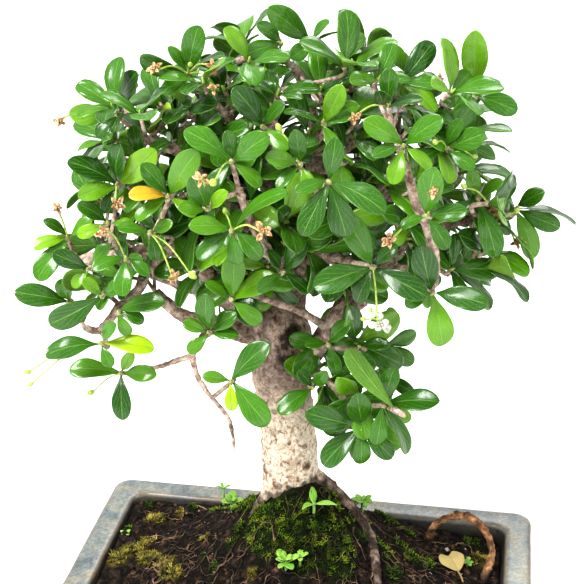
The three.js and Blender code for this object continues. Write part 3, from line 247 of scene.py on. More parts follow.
# Leaves that stand out by their colour: the place of the tip in the front view, and the tone
ODD_LEAVES = [
    ((127, 196), ORANGE), ((178, 196), YELLOW_GREEN), ((177, 112), YELLOW_GREEN), ((125, 94), YOUNG),
    ((154, 344), YELLOW_GREEN), ((232, 412), YELLOW_GREEN), ((227, 104), YOUNG), ((158, 149), YOUNG),
    ((228, 190), YOUNG), ((76, 236), YOUNG), ((32, 248), YOUNG), ((442, 348), 0.6), ((269, 427), 0.5),
    ((402, 252), YOUNG), ((271, 342), 0.22), ((345, 347), 0.1), ((303, 412), 0.12), ((326, 395), 0.2),
]
ODD_LEAF_REACH = 7
TURNED_AWAY = 0.5
LEAF_TONES = (0.06, 0.14, 0.22, 0.3, 0.36, 0.42, 0.48, 0.54, 0.62)

# The smaller rosettes fill this part of the front view, at these distances in front of the trunk
FILL_EDGE = [
    (85, 112), (125, 82), (170, 60), (235, 50), (275, 40), (340, 55), (400, 65), (465, 85), (490, 105),
    (480, 150), (515, 195), (540, 220), (515, 250), (475, 285), (430, 275), (395, 285), (360, 300),
    (330, 285), (255, 285), (205, 300), (165, 282), (110, 292), (55, 285), (45, 260), (70, 200), (100, 165),
    (85, 140),
]
LOW_FILL_EDGE = [
    (318, 338), (352, 322), (388, 332), (398, 372), (404, 408), (378, 432), (345, 430), (322, 400),
    (310, 365),
]
# Each layer: its edge, how far it stands in front of the trunk, its size against that edge, and how much its
# leaves look to the front
FILL_LAYERS = [
    (FILL_EDGE, 26, 0.93, 0.3), (FILL_EDGE, 2, 0.92, 0.3), (FILL_EDGE, -26, 0.8, 0.3),
    (FILL_EDGE, -52, 0.68, 0.3), (LOW_FILL_EDGE, 24, 1, 0.9), (LOW_FILL_EDGE, 4, 1, 0.9),
]
CROWN_CENTRE = (295, 185)
CROWN_CORE = (285, 215, -8)
FILL_ACROSS = (40, 560)
FILL_DOWN = (36, 440)
FILL_STEP = 26
FILL_SHIFT = 9
FILL_DEPTH_SHIFT = 8
FILL_LEAN = 0.4
FILL_RISE = 0.5
FILL_COUNTS = (4, 5, 5, 6)
FILL_LENGTHS = (0.016, 0.024)
FILL_SPUR = 0.006
FILL_SHOOT_RADIUS = 0.0009
FEWEST_LEAVES = 3
# How the blades of a rosette spread, in degrees from its axis, and their sizes
ROSETTE_UNEVEN = 0.2
ROSETTE_SPREAD = (48, 80)
ROSETTE_REACH = (0.75, 1.15)
LEAF_BREADTH = (0.44, 0.56)
LEAF_FOOT = 0.0012
# How far apart leaves keep, tested at these places along a blade and to its sides
LEAF_ROOM = 0.0042
CLEAR_ALONG = (0.45, 0.7, 0.97)
CLEAR_ASIDE = 0.8

# Flowers as seen from the front: the place, how far in front of the trunk, the reach of a petal
DRIED_FLOWERS = [
    (263, 231, 84, 3.9), (389, 241, 76, 3.8), (117, 204, 42, 3.3), (105, 231, 54, 3.8), (173, 277, 54, 3.2),
    (517, 243, 14, 3.4), (60, 121, 8, 2.8), (57, 208, 14, 3.3), (201, 179, 80, 3.4), (440, 81, 8, 3.2),
    (468, 124, 10, 3), (155, 69, 26, 3.2), (212, 67, 26, 3), (214, 88, 34, 2.8), (435, 192, 80, 3.2),
    (495, 211, 20, 3.2), (354, 118, 50, 3),
]
WHITE_FLOWER = (379, 324, 68, 4.6)
BUDS = [
    (31, 371, 42, 3.4), (94, 391, 34, 3.6), (189, 272, 56, 4.4), (33, 383, 42, 3), (281, 132, 60, 4),
    (466, 188, 40, 3.4), (436, 143, 50, 3.4), (514, 213, 16, 3.4), (521, 264, 14, 3.4), (215, 181, 80, 4.4),
    (366, 320, 66, 2.6), (372, 312, 66, 2.4), (226, 214, 70, 3), (472, 156, 30, 3), (190, 66, 24, 3),
]
STALK_SIDES = 6
FLOWER_STALK_RADIUS = 0.00045
FLOWER_STALK_BOW = 0.15
FLOWER_NOD = (-0.5, 0.3)
FLOWER_TURN = 0.5
CUP_DEPTH = 0.002
CUP_RINGS = (0, 1, 2.5)
CUP_RADII = (0.0006, 0.0014)
CUP_SIDES = 7
SEPAL_LENGTH = 0.003
SEPAL_WIDTH = 0.0012
PETALS = 5
PETAL_BREADTH = 0.55
WHITE_PETAL_BREADTH = 0.7
PETAL_THICKNESS = 0.0003
PETAL_FOOT = 0.0004
PETAL_UNEVEN = 0.3
PETAL_RISE = (-0.7, 1.2)
PETAL_REACH = (0.8, 1.3)
PETAL_TILT = 0.5
PETAL_FOLD = (0.2, 1.4)
INNER_PETAL_RISE = 0.9
INNER_PETAL_LENGTH = 0.6
INNER_PETAL_BREADTH = 0.7
INNER_PETAL_FOLD = (-0.6, 1.2)
STAMENS = 4
STAMEN_STEP = 1.7
STAMEN_RADIUS = 0.00018
STAMEN_KNOB = 0.0002
# How far above the white flower the stalks of its buds may start, in the front view
WHITE_FLOWER_CUP = 4
BUD_STALK_RADIUS = 0.00042
BUD_STALK_BOW = 0.12
BUD_RISE = 0.002
BUD_RINGS = 5

# What grows in the pot: the place in the front view, the height of the stalk, then layers of leaves. Each
# layer has their number, the turn of the first, their length, their width against it and their rise.
HERBS = [
    ("tender_seedling", (314, 516), 8, [(3, 0, 13, 0.38, 0.5), (1, 100, 8, 0.42, 1.2)], LANCE_OUTLINE,
     ["seedling"]),
    ("left_weed", (232, 513), 7, [(5, 20, 7.5, 0.72, 0.45), (4, 50, 4.5, 0.75, 0.9)], ROUND_OUTLINE,
     ["weed_left"]),
    ("front_weed", (286, 570), 5, [(6, 10, 8, 0.62, 0.4), (4, 40, 5, 0.7, 0.8)], ROUND_OUTLINE,
     ["weed_front"]),
    ("right_weed", (362, 512), 6.5, [(5, 50, 7.5, 0.6, 0.6), (5, 80, 6, 0.6, 0.2)], ROUND_OUTLINE,
     ["weed_right"]),
    ("small_weed_1", (300, 566), 6, [(4, 15, 4.5, 0.75, 0.5)], ROUND_OUTLINE, []),
    ("small_weed_2", (467, 566), 3, [(5, 0, 5, 0.7, 0.4)], ROUND_OUTLINE, []),
    ("small_weed_3", (224, 505), 12, [(4, 30, 5, 0.6, 0.7)], ROUND_OUTLINE, []),
    ("small_weed_4", (126, 540), 4, [(4, 60, 4, 0.6, 0.8)], ROUND_OUTLINE, []),
]
HERB_STALK_RADIUS = 0.0006
HERB_SUNK = 0.005
HERB_LAYER = 0.0012
HERB_UNEVEN = 16
HERB_REACH = (0.72, 1.12)
HERB_LIFT = (-0.35, 0.2)
HERB_BREADTH = (0.75, 0.95)
HERB_TONES = (0.2, 0.9)
HERB_THICKNESS = 0.00035
FALLEN_LEAF_PLACE = (452, 566)
FALLEN_LEAF_LENGTH = 0.015
FALLEN_LEAF_BREADTH = 0.92
FALLEN_LEAF_NOTCH = 0.16
FALLEN_LEAF_LIFT = 0.0024
FALLEN_LEAF_THICKNESS = 0.0004
FALLEN_STALK_RADIUS = 0.0004

# The visible surface of the soil and what covers it
SOIL_HALF_LENGTH = POT_LENGTH / 2 - RIM_WIDTH - 0.0024
SOIL_HALF_DEPTH = POT_DEPTH / 2 - RIM_WIDTH - 0.0024
SOIL_CORNER = 0.004
SOIL_COLUMNS = 190
SOIL_ROWS = 135
# Its lumps are sunk by their mean and are lower near the wall, and it rises towards the left back
LUMP_RELIEF = 0.0013
LUMP_SIZE = 0.011
LUMPS_SUNK = 0.0004
LUMPS_AT_WALL = 0.35
CALM_AT_WALL = 0.008
LEFT_BANK_REACH = (-0.005, -0.085)
# Cushions of moss, which end between these shares of their patch's radius
CUSHION_HEIGHT = 0.0014
CUSHION_UNEVEN = 0.0012
CUSHION_SIZE = 0.0045
MOSS_EDGE = 1.15
MOSS_CORE = 0.55
# Loose things keep this far from the trunk's axis, and stand between upright and square to the slope
TRUNK_CLEARANCE = 0.0165
SLOPE_STEP = 0.002
UPRIGHTNESS = 1.4
CRUMB_COUNT = 4300
CRUMB_MARGIN = 0.002
CRUMB_UNEVEN = (0.65, 1.15)
CRUMB_SUNK = 0.2
SMALLEST_CRUMB = 0.0005
CRUMB_RANGE = 0.0016
BARE_BELOW = 0.35
PALE_SHARE = 0.015
ROOTLET_COUNT = 290
ROOTLET_RADII = (0.00016, 0.0002, 0.0002, 0.00025, 0.0003, 0.0005)
ROOTLET_HALF_LENGTH = SOIL_HALF_LENGTH - 0.012
ROOTLET_HALF_DEPTH = SOIL_HALF_DEPTH - 0.010
ROOTLET_MARGIN = 0.003
ROOTLET_POINTS = 10
FEWEST_ROOTLET_POINTS = 5
ROOTLET_STEPS = (0.0012, 0.0024)
ROOTLET_BEND = 0.5
ROOTLET_CURL = 0.7
ROOTLET_LIFT = 0.0006
ROOTLET_ARCH = 0.0016
ROOTLET_TAPER = 0.6
ROOTLET_SIDES = 5
# Tufts to the square metre, green and golden
TUFTS_PER_AREA = (0.95e6, 2.0e6)
TUFT_HEIGHT = (0.0017, 0.0034)
TUFT_MARGIN = 0.001
TUFT_SUNK = 0.0003
MOSS_REACH = 1.1
MOSS_MIDDLE = 0.75
MOSS_RAGGED = 0.35
MOSS_RAGS = 300
# The leaflets of a tuft of unit height, with their turn and lean in radians
MIDDLE_LEAN = 0.15
SPIKE_LEAN = (0.45, 1.1)
SPIKE_STEP = 2.4
SPIKE_UNEVEN = 0.4
SPIKE_LENGTH = (0.75, 1.1)
SPIKE_SECTION = (1.3, 0.6)
SPIKE_FOOT = 0.2
SPIKE_TIP = 0.02
# Mossy places as seen from the front, with their radius in millimetres
GREEN_PATCHES = [
    (251, 505, 8), (270, 506, 12), (262, 520, 11), (287, 520, 12), (272, 536, 11), (300, 536, 11),
    (241, 509, 6), (252, 541, 6), (320, 512, 10), (332, 530, 10), (318, 550, 10), (338, 566, 9),
    (302, 562, 7), (282, 546, 7), (347, 548, 6), (374, 541, 5), (386, 556, 6), (400, 546, 5),
    (410, 557, 6), (425, 564, 5), (393, 573, 6), (366, 524, 4), (349, 521, 4), (362, 536, 4),
    (372, 508, 6), (392, 509, 5), (407, 507, 4), (330, 498, 6), (487, 546, 3), (151, 511, 4),
    (165, 506, 4), (128, 536, 3), (239, 529, 5), (232, 546, 4), (205, 561, 3), (214, 574, 4),
]
GOLDEN_PATCHES = [
    (118, 567, 8), (134, 557, 8), (150, 566, 8), (165, 573, 7), (148, 550, 5), (172, 582, 7),
    (181, 519, 4), (206, 544, 3), (252, 575, 3),
]
# More mossy places at the front and the back, which the front view doesn't reach: x, y and radius
# Every fourth of them is golden
GOLDEN_EVERY = 4
OTHER_PATCHES = [
    (-86, -56, 8), (-94, -66, 6), (-66, -70, 6), (-40, -56, 10), (-30, -62, 6), (-12, -68, 5),
    (14, -58, 6), (34, -70, 7), (62, -56, 5), (70, -62, 8), (96, -54, 6), (-88, 52, 7), (-70, 66, 5),
    (-52, 58, 8), (-20, 68, 5), (12, 62, 7), (40, 67, 9), (52, 60, 6), (88, 66, 6), (94, 48, 7),
    (-36, 46, 9), (18, 50, 9), (-10, 56, 10),
]

# The pot's rings from its foot to its inner floor: how far each stands in, its height, and whether it is worn
POT_CORNER = 0.0095
POT_RINGS = [
    (0.0205, 0, False), (0.020, 0.0006, False), (0.020, 0.005, False), (0.0172, 0.0058, True),
    (0.0164, 0.010, False), (0.013, 0.022, False), (0.0085, 0.038, False), (0.006, 0.047, False),
    (0.0018, 0.0498, False), (0.0005, 0.0506, True), (0, 0.052, False), (0, 0.055, False), (0, 0.0582, False),
    (0.0004, 0.0594, True), (0.0016, 0.0599, False), (0.003, 0.060, False), (0.0065, 0.0601, False),
    (0.011, 0.060, False), (0.0127, 0.0597, False), (0.0137, 0.059, True), (0.0144, 0.0575, False),
    (0.0160, 0.0508, False), (0.025, 0.010, False),
]
SIDE_CUTS = 36
# How uneven its walls are, how far the wear reaches from an edge, and where the painted shade inside begins
# and ends below the rim
POT_WAVES = 60
POT_UNEVEN = 0.0005
WEAR_REACH = 0.0022
SHADE_DEPTHS = (0.0012, 0.003)
SHADE_MARGIN = 0.003
FLOOR_MARGIN = 0.001

# The stage: a floor just below the pot's foot, lamps with their place, size and power, and a window's light
FLOOR_HALF = 8
FLOOR_GAP = 0.0002
FLOOR_COLOUR = (0.97, 0.97, 0.97)
STUDIO_BRIGHTNESS = 0.82
LAMPS = [
    ("key", (-0.8, -0.8, 1.5), 0.7, 26),
    ("fill", (1.2, -0.7, 0.9), 1.0, 4),
    ("back", (0.2, 1.3, 1.4), 0.8, 10),
]
LAMP_AIM = Vector((0, 0, 0.2))
WINDOW_BRIGHTNESS = 2.1
WINDOW_SOFTNESS = math.radians(32)
WINDOW_TURN = (math.radians(30), math.radians(-24), 0)
SENSOR_WIDTH = 36


def seen(place):
    """The place given by where it is seen from the front and how far it stands in front of the trunk."""
    across, down, toward = place
    line = SIGHT * FOCAL + RIGHT * (across - VIEW_SIZE / 2) + SIGHT_UP * (VIEW_SIZE / 2 - down)
    plane = TRUNK_PLACE - BACK * toward * MM
    return EYE + line * ((plane - EYE).dot(BACK) / line.dot(BACK))


def as_seen(place):
    """Where a place is seen in the front view."""
    away = place - EYE
    scale = FOCAL / away.dot(SIGHT)
    return Vector((VIEW_SIZE / 2 + away.dot(RIGHT) * scale, VIEW_SIZE / 2 - away.dot(SIGHT_UP) * scale))


def soil_height(x, y):
    """Height of the soil: level near the walls, with a mound round the foot of the trunk and low lumps."""
    away = math.hypot(x - MOUND_TOP.x, y - MOUND_TOP.y)
    mound = MOUND_HEIGHT * math.exp(-((away / MOUND_SPREAD) ** MOUND_SHAPE))
    inside = min(POT_LENGTH / 2 - abs(x), POT_DEPTH / 2 - abs(y)) - RIM_WIDTH
    wall_limit = BANK_AT_WALL + BANK_SLOPE * max(inside, 0)
    wide, deep = x / MM, y / MM
    lumps = 0.6 * math.sin(wide * 0.13 + 1) * math.sin(deep * 0.17)
    lumps += 0.4 * math.sin(wide * 0.31 + deep * 0.23)
    return SOIL_LEVEL + min(mound, wall_limit) + lumps * LUMP_HEIGHT


def on_soil(across, down):
    """The place on the soil that is seen at a point of the front view."""
    toward = NEAREST_SOIL
    while toward > FARTHEST_SOIL:
        place = seen((across, down, toward))
        if place.z <= soil_height(place.x, place.y):
            return place
        toward -= SOIL_SEARCH_STEP
    raise ValueError("no soil is seen there")


def between(low, high, share):
    return low + (high - low) * share


def ramped(value, start, end):
    """0 before start, 1 after end, and smooth between them; start may be the larger."""
    share = min(max((value - start) / (end - start), 0), 1)
    return share * share * (3 - 2 * share)


def astray(draw, most):
    """A random amount up to most, either way."""
    return draw.uniform(-most, most)


def smoothed(points, steps):
    """Points of one smooth curve through the given points."""
    route = []
    last = len(points) - 1
    for i in range(last):
        before, start, end, after = points[max(i - 1, 0)], points[i], points[i + 1], points[min(i + 2, last)]
        leave = start + (end - before) / 6
        arrive = end - (after - start) / 6
        route += geometry.interpolate_bezier(start, leave, arrive, end, steps + 1)[:-1]
    return route + [points[-1]]


def grown_from(bm, edges):
    """Extrudes open edges, and gives the new points and the new open edges."""
    grown = bmesh.ops.extrude_edge_only(bm, edges=edges)["geom"]
    points = [item for item in grown if isinstance(item, bmesh.types.BMVert)]
    rim = [item for item in grown if isinstance(item, bmesh.types.BMEdge) and item.is_boundary]
    return points, rim


def stem(route, radius, sides):
    """The mesh of a round stem along a route, closed at both ends. radius takes the share of the way."""
    bm = bmesh.new()
    last = len(route) - 1
    turn, direction, stand = None, None, None
    for i, place in enumerate(route):
        along = (route[min(i + 1, last)] - route[max(i - 1, 0)]).normalized()
        turn = along.to_track_quat("Z", "Y") if turn is None else direction.rotation_difference(along) @ turn
        direction = along
        before, stand = stand, Matrix.LocRotScale(place, turn, Vector.Fill(3, radius(i / last)))
        if before is None:
            bmesh.ops.create_circle(bm, cap_ends=True, segments=sides, radius=1, matrix=stand)
            edges = list(bm.edges)
        else:
            ring, edges = grown_from(bm, edges)
            bmesh.ops.transform(bm, matrix=stand @ before.inverted(), verts=ring)
    bmesh.ops.contextual_create(bm, geom=edges)
    bmesh.ops.recalc_face_normals(bm, faces=bm.faces)
    return mesh_of("stem", bm)


def mesh_of(name, bm):
    """The mesh that a bmesh becomes."""
    mesh = bpy.data.meshes.new(name)
    bm.to_mesh(mesh)
    bm.free()
    return mesh


def sweep(bm, route, radius, sides):
    """Adds a round stem to a bmesh."""
    mesh = stem(route, radius, sides)
    bm.from_mesh(mesh)
    bpy.data.meshes.remove(mesh)


def gathered(meshes, group_size=60):
    """A bmesh of many small meshes, which are joined a group at a time."""
    groups = []
    for start in range(0, len(meshes), group_size):
        group = bmesh.new()
        for mesh in meshes[start:start + group_size]:
            group.from_mesh(mesh)
            bpy.data.meshes.remove(mesh)
        groups.append(mesh_of("group", group))
    bm = bmesh.new()
    for mesh in groups:
        bm.from_mesh(mesh)
        bpy.data.meshes.remove(mesh)
    return bm


def new_object(name, data):
    """An object in the scene."""
    thing = bpy.data.objects.new(name, data)
    bpy.context.scene.collection.objects.link(thing)
    return thing


def finished(name, mesh, materials, replaces=()):
    """Makes one smooth piece of the object from a mesh, which rides with the pot."""
    mesh.shade_smooth()
    for material in materials:
        mesh.materials.append(material)
    piece = new_object(name, mesh)
    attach(piece, "root")
    if replaces:
        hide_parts(*replaces)
    return piece


def piece_of(name, bm, materials, replaces=()):
    """Makes one piece of the object from a closed bmesh."""
    bmesh.ops.recalc_face_normals(bm, faces=bm.faces)
    return finished(name, mesh_of(name, bm), materials, replaces)


def settle(piece):
    """Applies the modifiers of a piece to its mesh."""
    depsgraph = bpy.context.evaluated_depsgraph_get()
    depsgraph.update()
    mesh = bpy.data.meshes.new_from_object(piece.evaluated_get(depsgraph))
    piece.modifiers.clear()
    piece.data = mesh


def mark(mesh, name, values):
    """Stores one number for each point of a mesh, for its material to read."""
    mesh.attributes.new(name, "FLOAT", "POINT").data.foreach_set("value", values)


# Materials

def new_material(name, roughness, **sockets):
    """A material with its shader, whose plain values are set on the shader's own sockets."""
    material = bpy.data.materials.new(name)
    material.use_nodes = True
    shader = material.node_tree.nodes["Principled BSDF"]
    shader.inputs["Roughness"].default_value = roughness
    for socket, value in sockets.items():
        shader.inputs[socket.replace("_", " ")].default_value = value
    return material, material.node_tree, shader


def add(tree, kind, links=None, **settings):
    """A node with its inputs linked or set, and its own settings."""
    node = tree.nodes.new(kind)
    for name, value in settings.items():
        setattr(node, name, value)
    for socket, value in (links or {}).items():
        if isinstance(value, bpy.types.NodeSocket):
            tree.links.new(value, node.inputs[socket])
        else:
            node.inputs[socket].default_value = value
    return node


def sums(tree, operation, a, b=0.5):
    return add(tree, "ShaderNodeMath", {0: a, 1: b}, operation=operation).outputs[0]


def ramp(tree, factor, stops):
    """Colours or grey levels along a factor."""
    node = add(tree, "ShaderNodeValToRGB", {"Fac": factor})
    elements = node.color_ramp.elements
    while len(elements) < len(stops):
        elements.new(0.5)
    for element, (place, colour) in zip(elements, stops):
        element.position = place
        element.color = (*colour, 1) if isinstance(colour, tuple) else (colour, colour, colour, 1)
    return node.outputs["Color"]


def mixed(tree, factor, first, second, blend="MIX"):
    node = add(tree, "ShaderNodeMix", data_type="RGBA", blend_type=blend)
    for index, value in ((0, factor), (6, first), (7, second)):
        if isinstance(value, bpy.types.NodeSocket):
            tree.links.new(value, node.inputs[index])
        else:
            node.inputs[index].default_value = (*value, 1) if isinstance(value, tuple) else value
    return node.outputs[2]


def tinted(tree, mask, share, colour, tint):
    """A colour with a share of a tint where a mask is bright."""
    return mixed(tree, sums(tree, "MULTIPLY", mask, share), colour, tint)


def grain(tree, size, detail=3.0, distortion=0.0, stretch=(1, 1, 1)):
    """Noise on the object's own coordinates; size is in metres."""
    place = add(tree, "ShaderNodeTexCoord").outputs["Object"]
    mapping = add(tree, "ShaderNodeMapping", {"Vector": place, "Scale": stretch})
    links = {"Vector": mapping.outputs[0], "Scale": 1 / size, "Detail": detail, "Distortion": distortion}
    return add(tree, "ShaderNodeTexNoise", links).outputs["Fac"]


def cells(tree, size):
    """Distance from the nearest of many scattered points; size is in metres."""
    place = add(tree, "ShaderNodeTexCoord").outputs["Object"]
    return add(tree, "ShaderNodeTexVoronoi", {"Vector": place, "Scale": 1 / size}).outputs["Distance"]


def attribute(tree, name):
    return add(tree, "ShaderNodeAttribute", attribute_name=name).outputs["Fac"]


def dress(tree, shader, colour, height, distance, strength):
    """Gives a shader its colour and its relief."""
    tree.links.new(colour, shader.inputs["Base Color"])
    relief = add(tree, "ShaderNodeBump", {"Height": height, "Distance": distance, "Strength": strength})
    tree.links.new(relief.outputs[0], shader.inputs["Normal"])


def leaf_material(name, stops, pale, gloss, coat):
    """Green by each leaf's tone, with a pale rib, faint side veins, a pale edge and fine white dots."""
    material, tree, shader = new_material(name, gloss, IOR=1.4, Specular_IOR_Level=0.3, Coat_Weight=coat,
                                          Coat_Roughness=0.13)
    colour = ramp(tree, attribute(tree, "tone"), stops)
    colour = mixed(tree, grain(tree, 0.004, 3), mixed(tree, 0.35, colour, (0.0, 0.02, 0.0)), colour)
    sheet = add(tree, "ShaderNodeUVMap", uv_map="blade").outputs[0]
    parts = add(tree, "ShaderNodeSeparateXYZ", {0: sheet})
    from_rib = sums(tree, "ABSOLUTE", sums(tree, "SUBTRACT", parts.outputs[0], 0.5))
    rib = ramp(tree, from_rib, [(0, 1.0), (0.035, 0.0)])
    along = sums(tree, "MULTIPLY", parts.outputs[1], 30.0)
    slant = sums(tree, "MULTIPLY", from_rib, -36.0)
    wave = sums(tree, "SINE", sums(tree, "ADD", along, slant))
    vein = ramp(tree, wave, [(0.86, 0.0), (1.0, 1.0)])
    edge = ramp(tree, from_rib, [(0.455, 0.0), (0.5, 1.0)])
    for mask, share in ((rib, 0.55), (vein, 0.22), (edge, 0.4)):
        colour = tinted(tree, mask, share, colour, pale)
    dots = ramp(tree, cells(tree, 0.0009), [(0.12, 1.0), (0.2, 0.0)])
    colour = tinted(tree, dots, 0.3, colour, (0.42, 0.58, 0.3))
    relief = sums(tree, "SUBTRACT", sums(tree, "MULTIPLY", grain(tree, 0.0007, 2), 0.5),
                  sums(tree, "ADD", rib, sums(tree, "MULTIPLY", vein, 0.3)))
    dress(tree, shader, colour, relief, 0.00026, 0.8)
    return material


def bark_material():
    """Pale crinkled bark with dark knots and patches, browner on the limbs, and painted shade in the hollow
    below the fork.
    """
    material, tree, shader = new_material("bark", 0.86, Specular_IOR_Level=0.25)
    cream = ramp(tree, grain(tree, 0.0024, 9, 0.4, (1, 1, 0.8)),
                 [(0.32, (0.24, 0.145, 0.08)), (0.40, (0.55, 0.40, 0.28)), (0.47, (0.76, 0.63, 0.48)),
                  (0.62, (0.88, 0.78, 0.64))])
    blotch = ramp(tree, grain(tree, 0.011, 5, 0.8), [(0.5, 0.0), (0.68, 0.75)])
    cream = mixed(tree, blotch, cream, mixed(tree, 0.6, cream, (0.22, 0.13, 0.075)))
    brown = ramp(tree, grain(tree, 0.003, 7, 0.6),
                 [(0.32, (0.17, 0.105, 0.08)), (0.47, (0.46, 0.33, 0.26)), (0.66, (0.74, 0.60, 0.50))])
    colour = mixed(tree, attribute(tree, "brown"), cream, brown)
    rings = ramp(tree, attribute(tree, "knot"), [(0.15, 0.0), (0.45, 0.7), (0.75, 0.55), (1, 1.0)])
    crevice = (0.12, 0.07, 0.045)
    colour = mixed(tree, rings, colour, crevice)
    patches = ramp(tree, grain(tree, 0.0075, 9, 0.2, (1, 1, 0.7)), [(0.43, 0.0), (0.56, 0.95)])
    # Dark patches on the limbs and roots, and painted shade in the hollow below the fork
    colour = tinted(tree, attribute(tree, "dark"), patches, colour, (0.02, 0.014, 0.01))
    colour = mixed(tree, attribute(tree, "soiled"), colour, (0.022, 0.015, 0.01))
    cracks = ramp(tree, grain(tree, 0.0012, 5, 1.0), [(0.38, 1.0), (0.47, 0.0)])
    colour = tinted(tree, cracks, 0.55, colour, crevice)
    dress(tree, shader, colour, grain(tree, 0.0012, 6, 0.6), 0.0009, 0.9)
    return material


def plain_grain(name, roughness, size, stops, relief, **sockets):
    """A material whose colours follow fine noise."""
    material, tree, shader = new_material(name, roughness, **sockets)
    colour = ramp(tree, grain(tree, size, 5, 0.4), stops)
    dress(tree, shader, colour, grain(tree, size / 3, 4), relief, 0.8)
    return material


def root_bark_material():
    """Rough orange-brown bark of a bare root, soiled where it enters the earth."""
    material, tree, shader = new_material("root_bark", 0.9)
    colour = ramp(tree, grain(tree, 0.0042, 5, 0.4),
                  [(0.33, (0.03, 0.016, 0.01)), (0.47, (0.17, 0.08, 0.035)), (0.58, (0.38, 0.19, 0.08)),
                   (0.7, (0.62, 0.38, 0.20))])
    colour = mixed(tree, attribute(tree, "soiled"), colour, (0.016, 0.010, 0.007))
    dress(tree, shader, colour, grain(tree, 0.0014, 4), 0.0009, 0.8)
    return material


def moss_material(name, stops):
    """Moss with painted shade: almost black at the feet of its tufts and in patches, bright at their tips."""
    material, tree, shader = new_material(name, 0.8, Specular_IOR_Level=0.3)
    bright = ramp(tree, grain(tree, 0.005, 6, 0.5), stops)
    # Painted shade: the tufts darken to almost black towards their feet, and in noisy patches
    height = ramp(tree, attribute(tree, "tip"), [(0.25, 0.0), (0.95, 1.0)])
    shade = ramp(tree, grain(tree, 0.009, 4, 0.8), [(0.43, 0.2), (0.57, 1.0)])
    lit = sums(tree, "MULTIPLY", height, shade)
    colour = mixed(tree, lit, (0.006, 0.014, 0.002), bright)
    dress(tree, shader, colour, grain(tree, 0.0008, 3), 0.0003, 0.6)
    return material


def earth_material():
    """Dark crumbly earth, green or golden under the moss."""
    material, tree, shader = new_material("earth", 0.95, Specular_IOR_Level=0.15)
    colour = ramp(tree, grain(tree, 0.004, 6, 0.4),
                  [(0.3, (0.002, 0.0015, 0.001)), (0.5, (0.007, 0.005, 0.0035)),
                   (0.74, (0.045, 0.03, 0.021))])
    green = ramp(tree, grain(tree, 0.003, 5), [(0.35, (0.002, 0.003, 0.001)), (0.7, (0.014, 0.024, 0.002))])
    golden = ramp(tree, grain(tree, 0.003, 5), [(0.35, (0.012, 0.009, 0.003)), (0.7, (0.12, 0.09, 0.02))])
    colour = mixed(tree, attribute(tree, "moss"), colour, green)
    colour = mixed(tree, attribute(tree, "golden"), colour, golden)
    dress(tree, shader, colour, grain(tree, 0.0014, 5), 0.0012, 0.9)
    return material


def glaze_material():
    """Grey-blue glaze, mottled, with tan specks, worn brown edges and painted shade that darkens the inside
    below the rim.
    """
    material, tree, shader = new_material("glaze", 0.36, IOR=1.5, Coat_Weight=0.2, Coat_Roughness=0.2)
    body = ramp(tree, grain(tree, 0.014, 7, 0.5),
                [(0.32, (0.090, 0.112, 0.118)), (0.45, (0.135, 0.160, 0.158)), (0.55, (0.19, 0.20, 0.175)),
                 (0.68, (0.235, 0.215, 0.155))])
    fine = ramp(tree, grain(tree, 0.0016, 5), [(0.36, (0.24, 0.24, 0.24)), (0.64, (0.72, 0.72, 0.72))])
    colour = mixed(tree, 0.6, body, fine, "OVERLAY")
    specks = ramp(tree, grain(tree, 0.0024, 5), [(0.55, 0.0), (0.66, 1.0)])
    colour = tinted(tree, specks, 0.45, colour, (0.24, 0.18, 0.11))
    edge_grain = ramp(tree, grain(tree, 0.006, 4), [(0.3, 0.25), (0.6, 1.0)])
    colour = tinted(tree, attribute(tree, "worn"), edge_grain, colour, (0.15, 0.10, 0.06))
    # Painted shade: the inner wall turns almost black from just below the rim
    stain = ramp(tree, grain(tree, 0.005, 5), [(0.3, (0.009, 0.007, 0.006)), (0.7, (0.038, 0.030, 0.025))])
    colour = mixed(tree, attribute(tree, "stained"), colour, stain)
    dress(tree, shader, colour, grain(tree, 0.004, 5), 0.0004, 0.5)
    return material


LEAF_TOP = leaf_material("leaf_top", [
    (0, (0.010, 0.060, 0.002)), (0.5, (0.056, 0.20, 0.003)), (0.72, (0.20, 0.42, 0.006)),
    (0.86, (0.36, 0.56, 0.008)), (1, (0.74, 0.42, 0.03))], (0.20, 0.42, 0.06), 0.3, 0.5)
LEAF_UNDER = leaf_material("leaf_underside", [
    (0, (0.06, 0.15, 0.02)), (0.5, (0.12, 0.26, 0.03)), (0.72, (0.24, 0.42, 0.04)),
    (0.86, (0.38, 0.50, 0.03)), (1, (0.62, 0.36, 0.03))], (0.32, 0.45, 0.14), 0.5, 0.0)
YOUNG_LEAF = leaf_material("young_leaf", [
    (0, (0.12, 0.36, 0.02)), (0.5, (0.24, 0.50, 0.05)),
    (1, (0.40, 0.64, 0.12))], (0.46, 0.68, 0.26), 0.42, 0.1)
DRY_LEAF = leaf_material("dry_leaf", [
    (0, (0.30, 0.21, 0.07)), (0.5, (0.50, 0.39, 0.16)),
    (1, (0.58, 0.44, 0.20))], (0.34, 0.24, 0.10), 0.7, 0.0)
BARK = bark_material()
PETAL = plain_grain("dried_petal", 0.85, 0.0015, [
    (0.34, (0.20, 0.085, 0.03)), (0.46, (0.48, 0.27, 0.12)), (0.62, (0.72, 0.52, 0.31))], 0.0004)
WHITE_PETAL = plain_grain("white_petal", 0.6, 0.002, [
    (0.3, (0.42, 0.43, 0.30)), (0.6, (0.64, 0.64, 0.58))], 0.0002)
BUD_GREEN = plain_grain("bud_green", 0.5, 0.0015,
                        [(0.3, (0.20, 0.31, 0.035)), (0.6, (0.43, 0.54, 0.12))], 0.0001)
EARTH = earth_material()
PALE_GRAIN = plain_grain("pale_grain", 0.85, 0.003,
                         [(0.3, (0.16, 0.14, 0.12)), (0.7, (0.46, 0.42, 0.37))], 0.0003)
CRUMB = plain_grain("crumb", 0.95, 0.006, [
    (0.3, (0.004, 0.003, 0.002)), (0.52, (0.018, 0.011, 0.008)),
    (0.72, (0.13, 0.075, 0.042))], 0.0006, Specular_IOR_Level=0.15)
ROOT_BARK = root_bark_material()
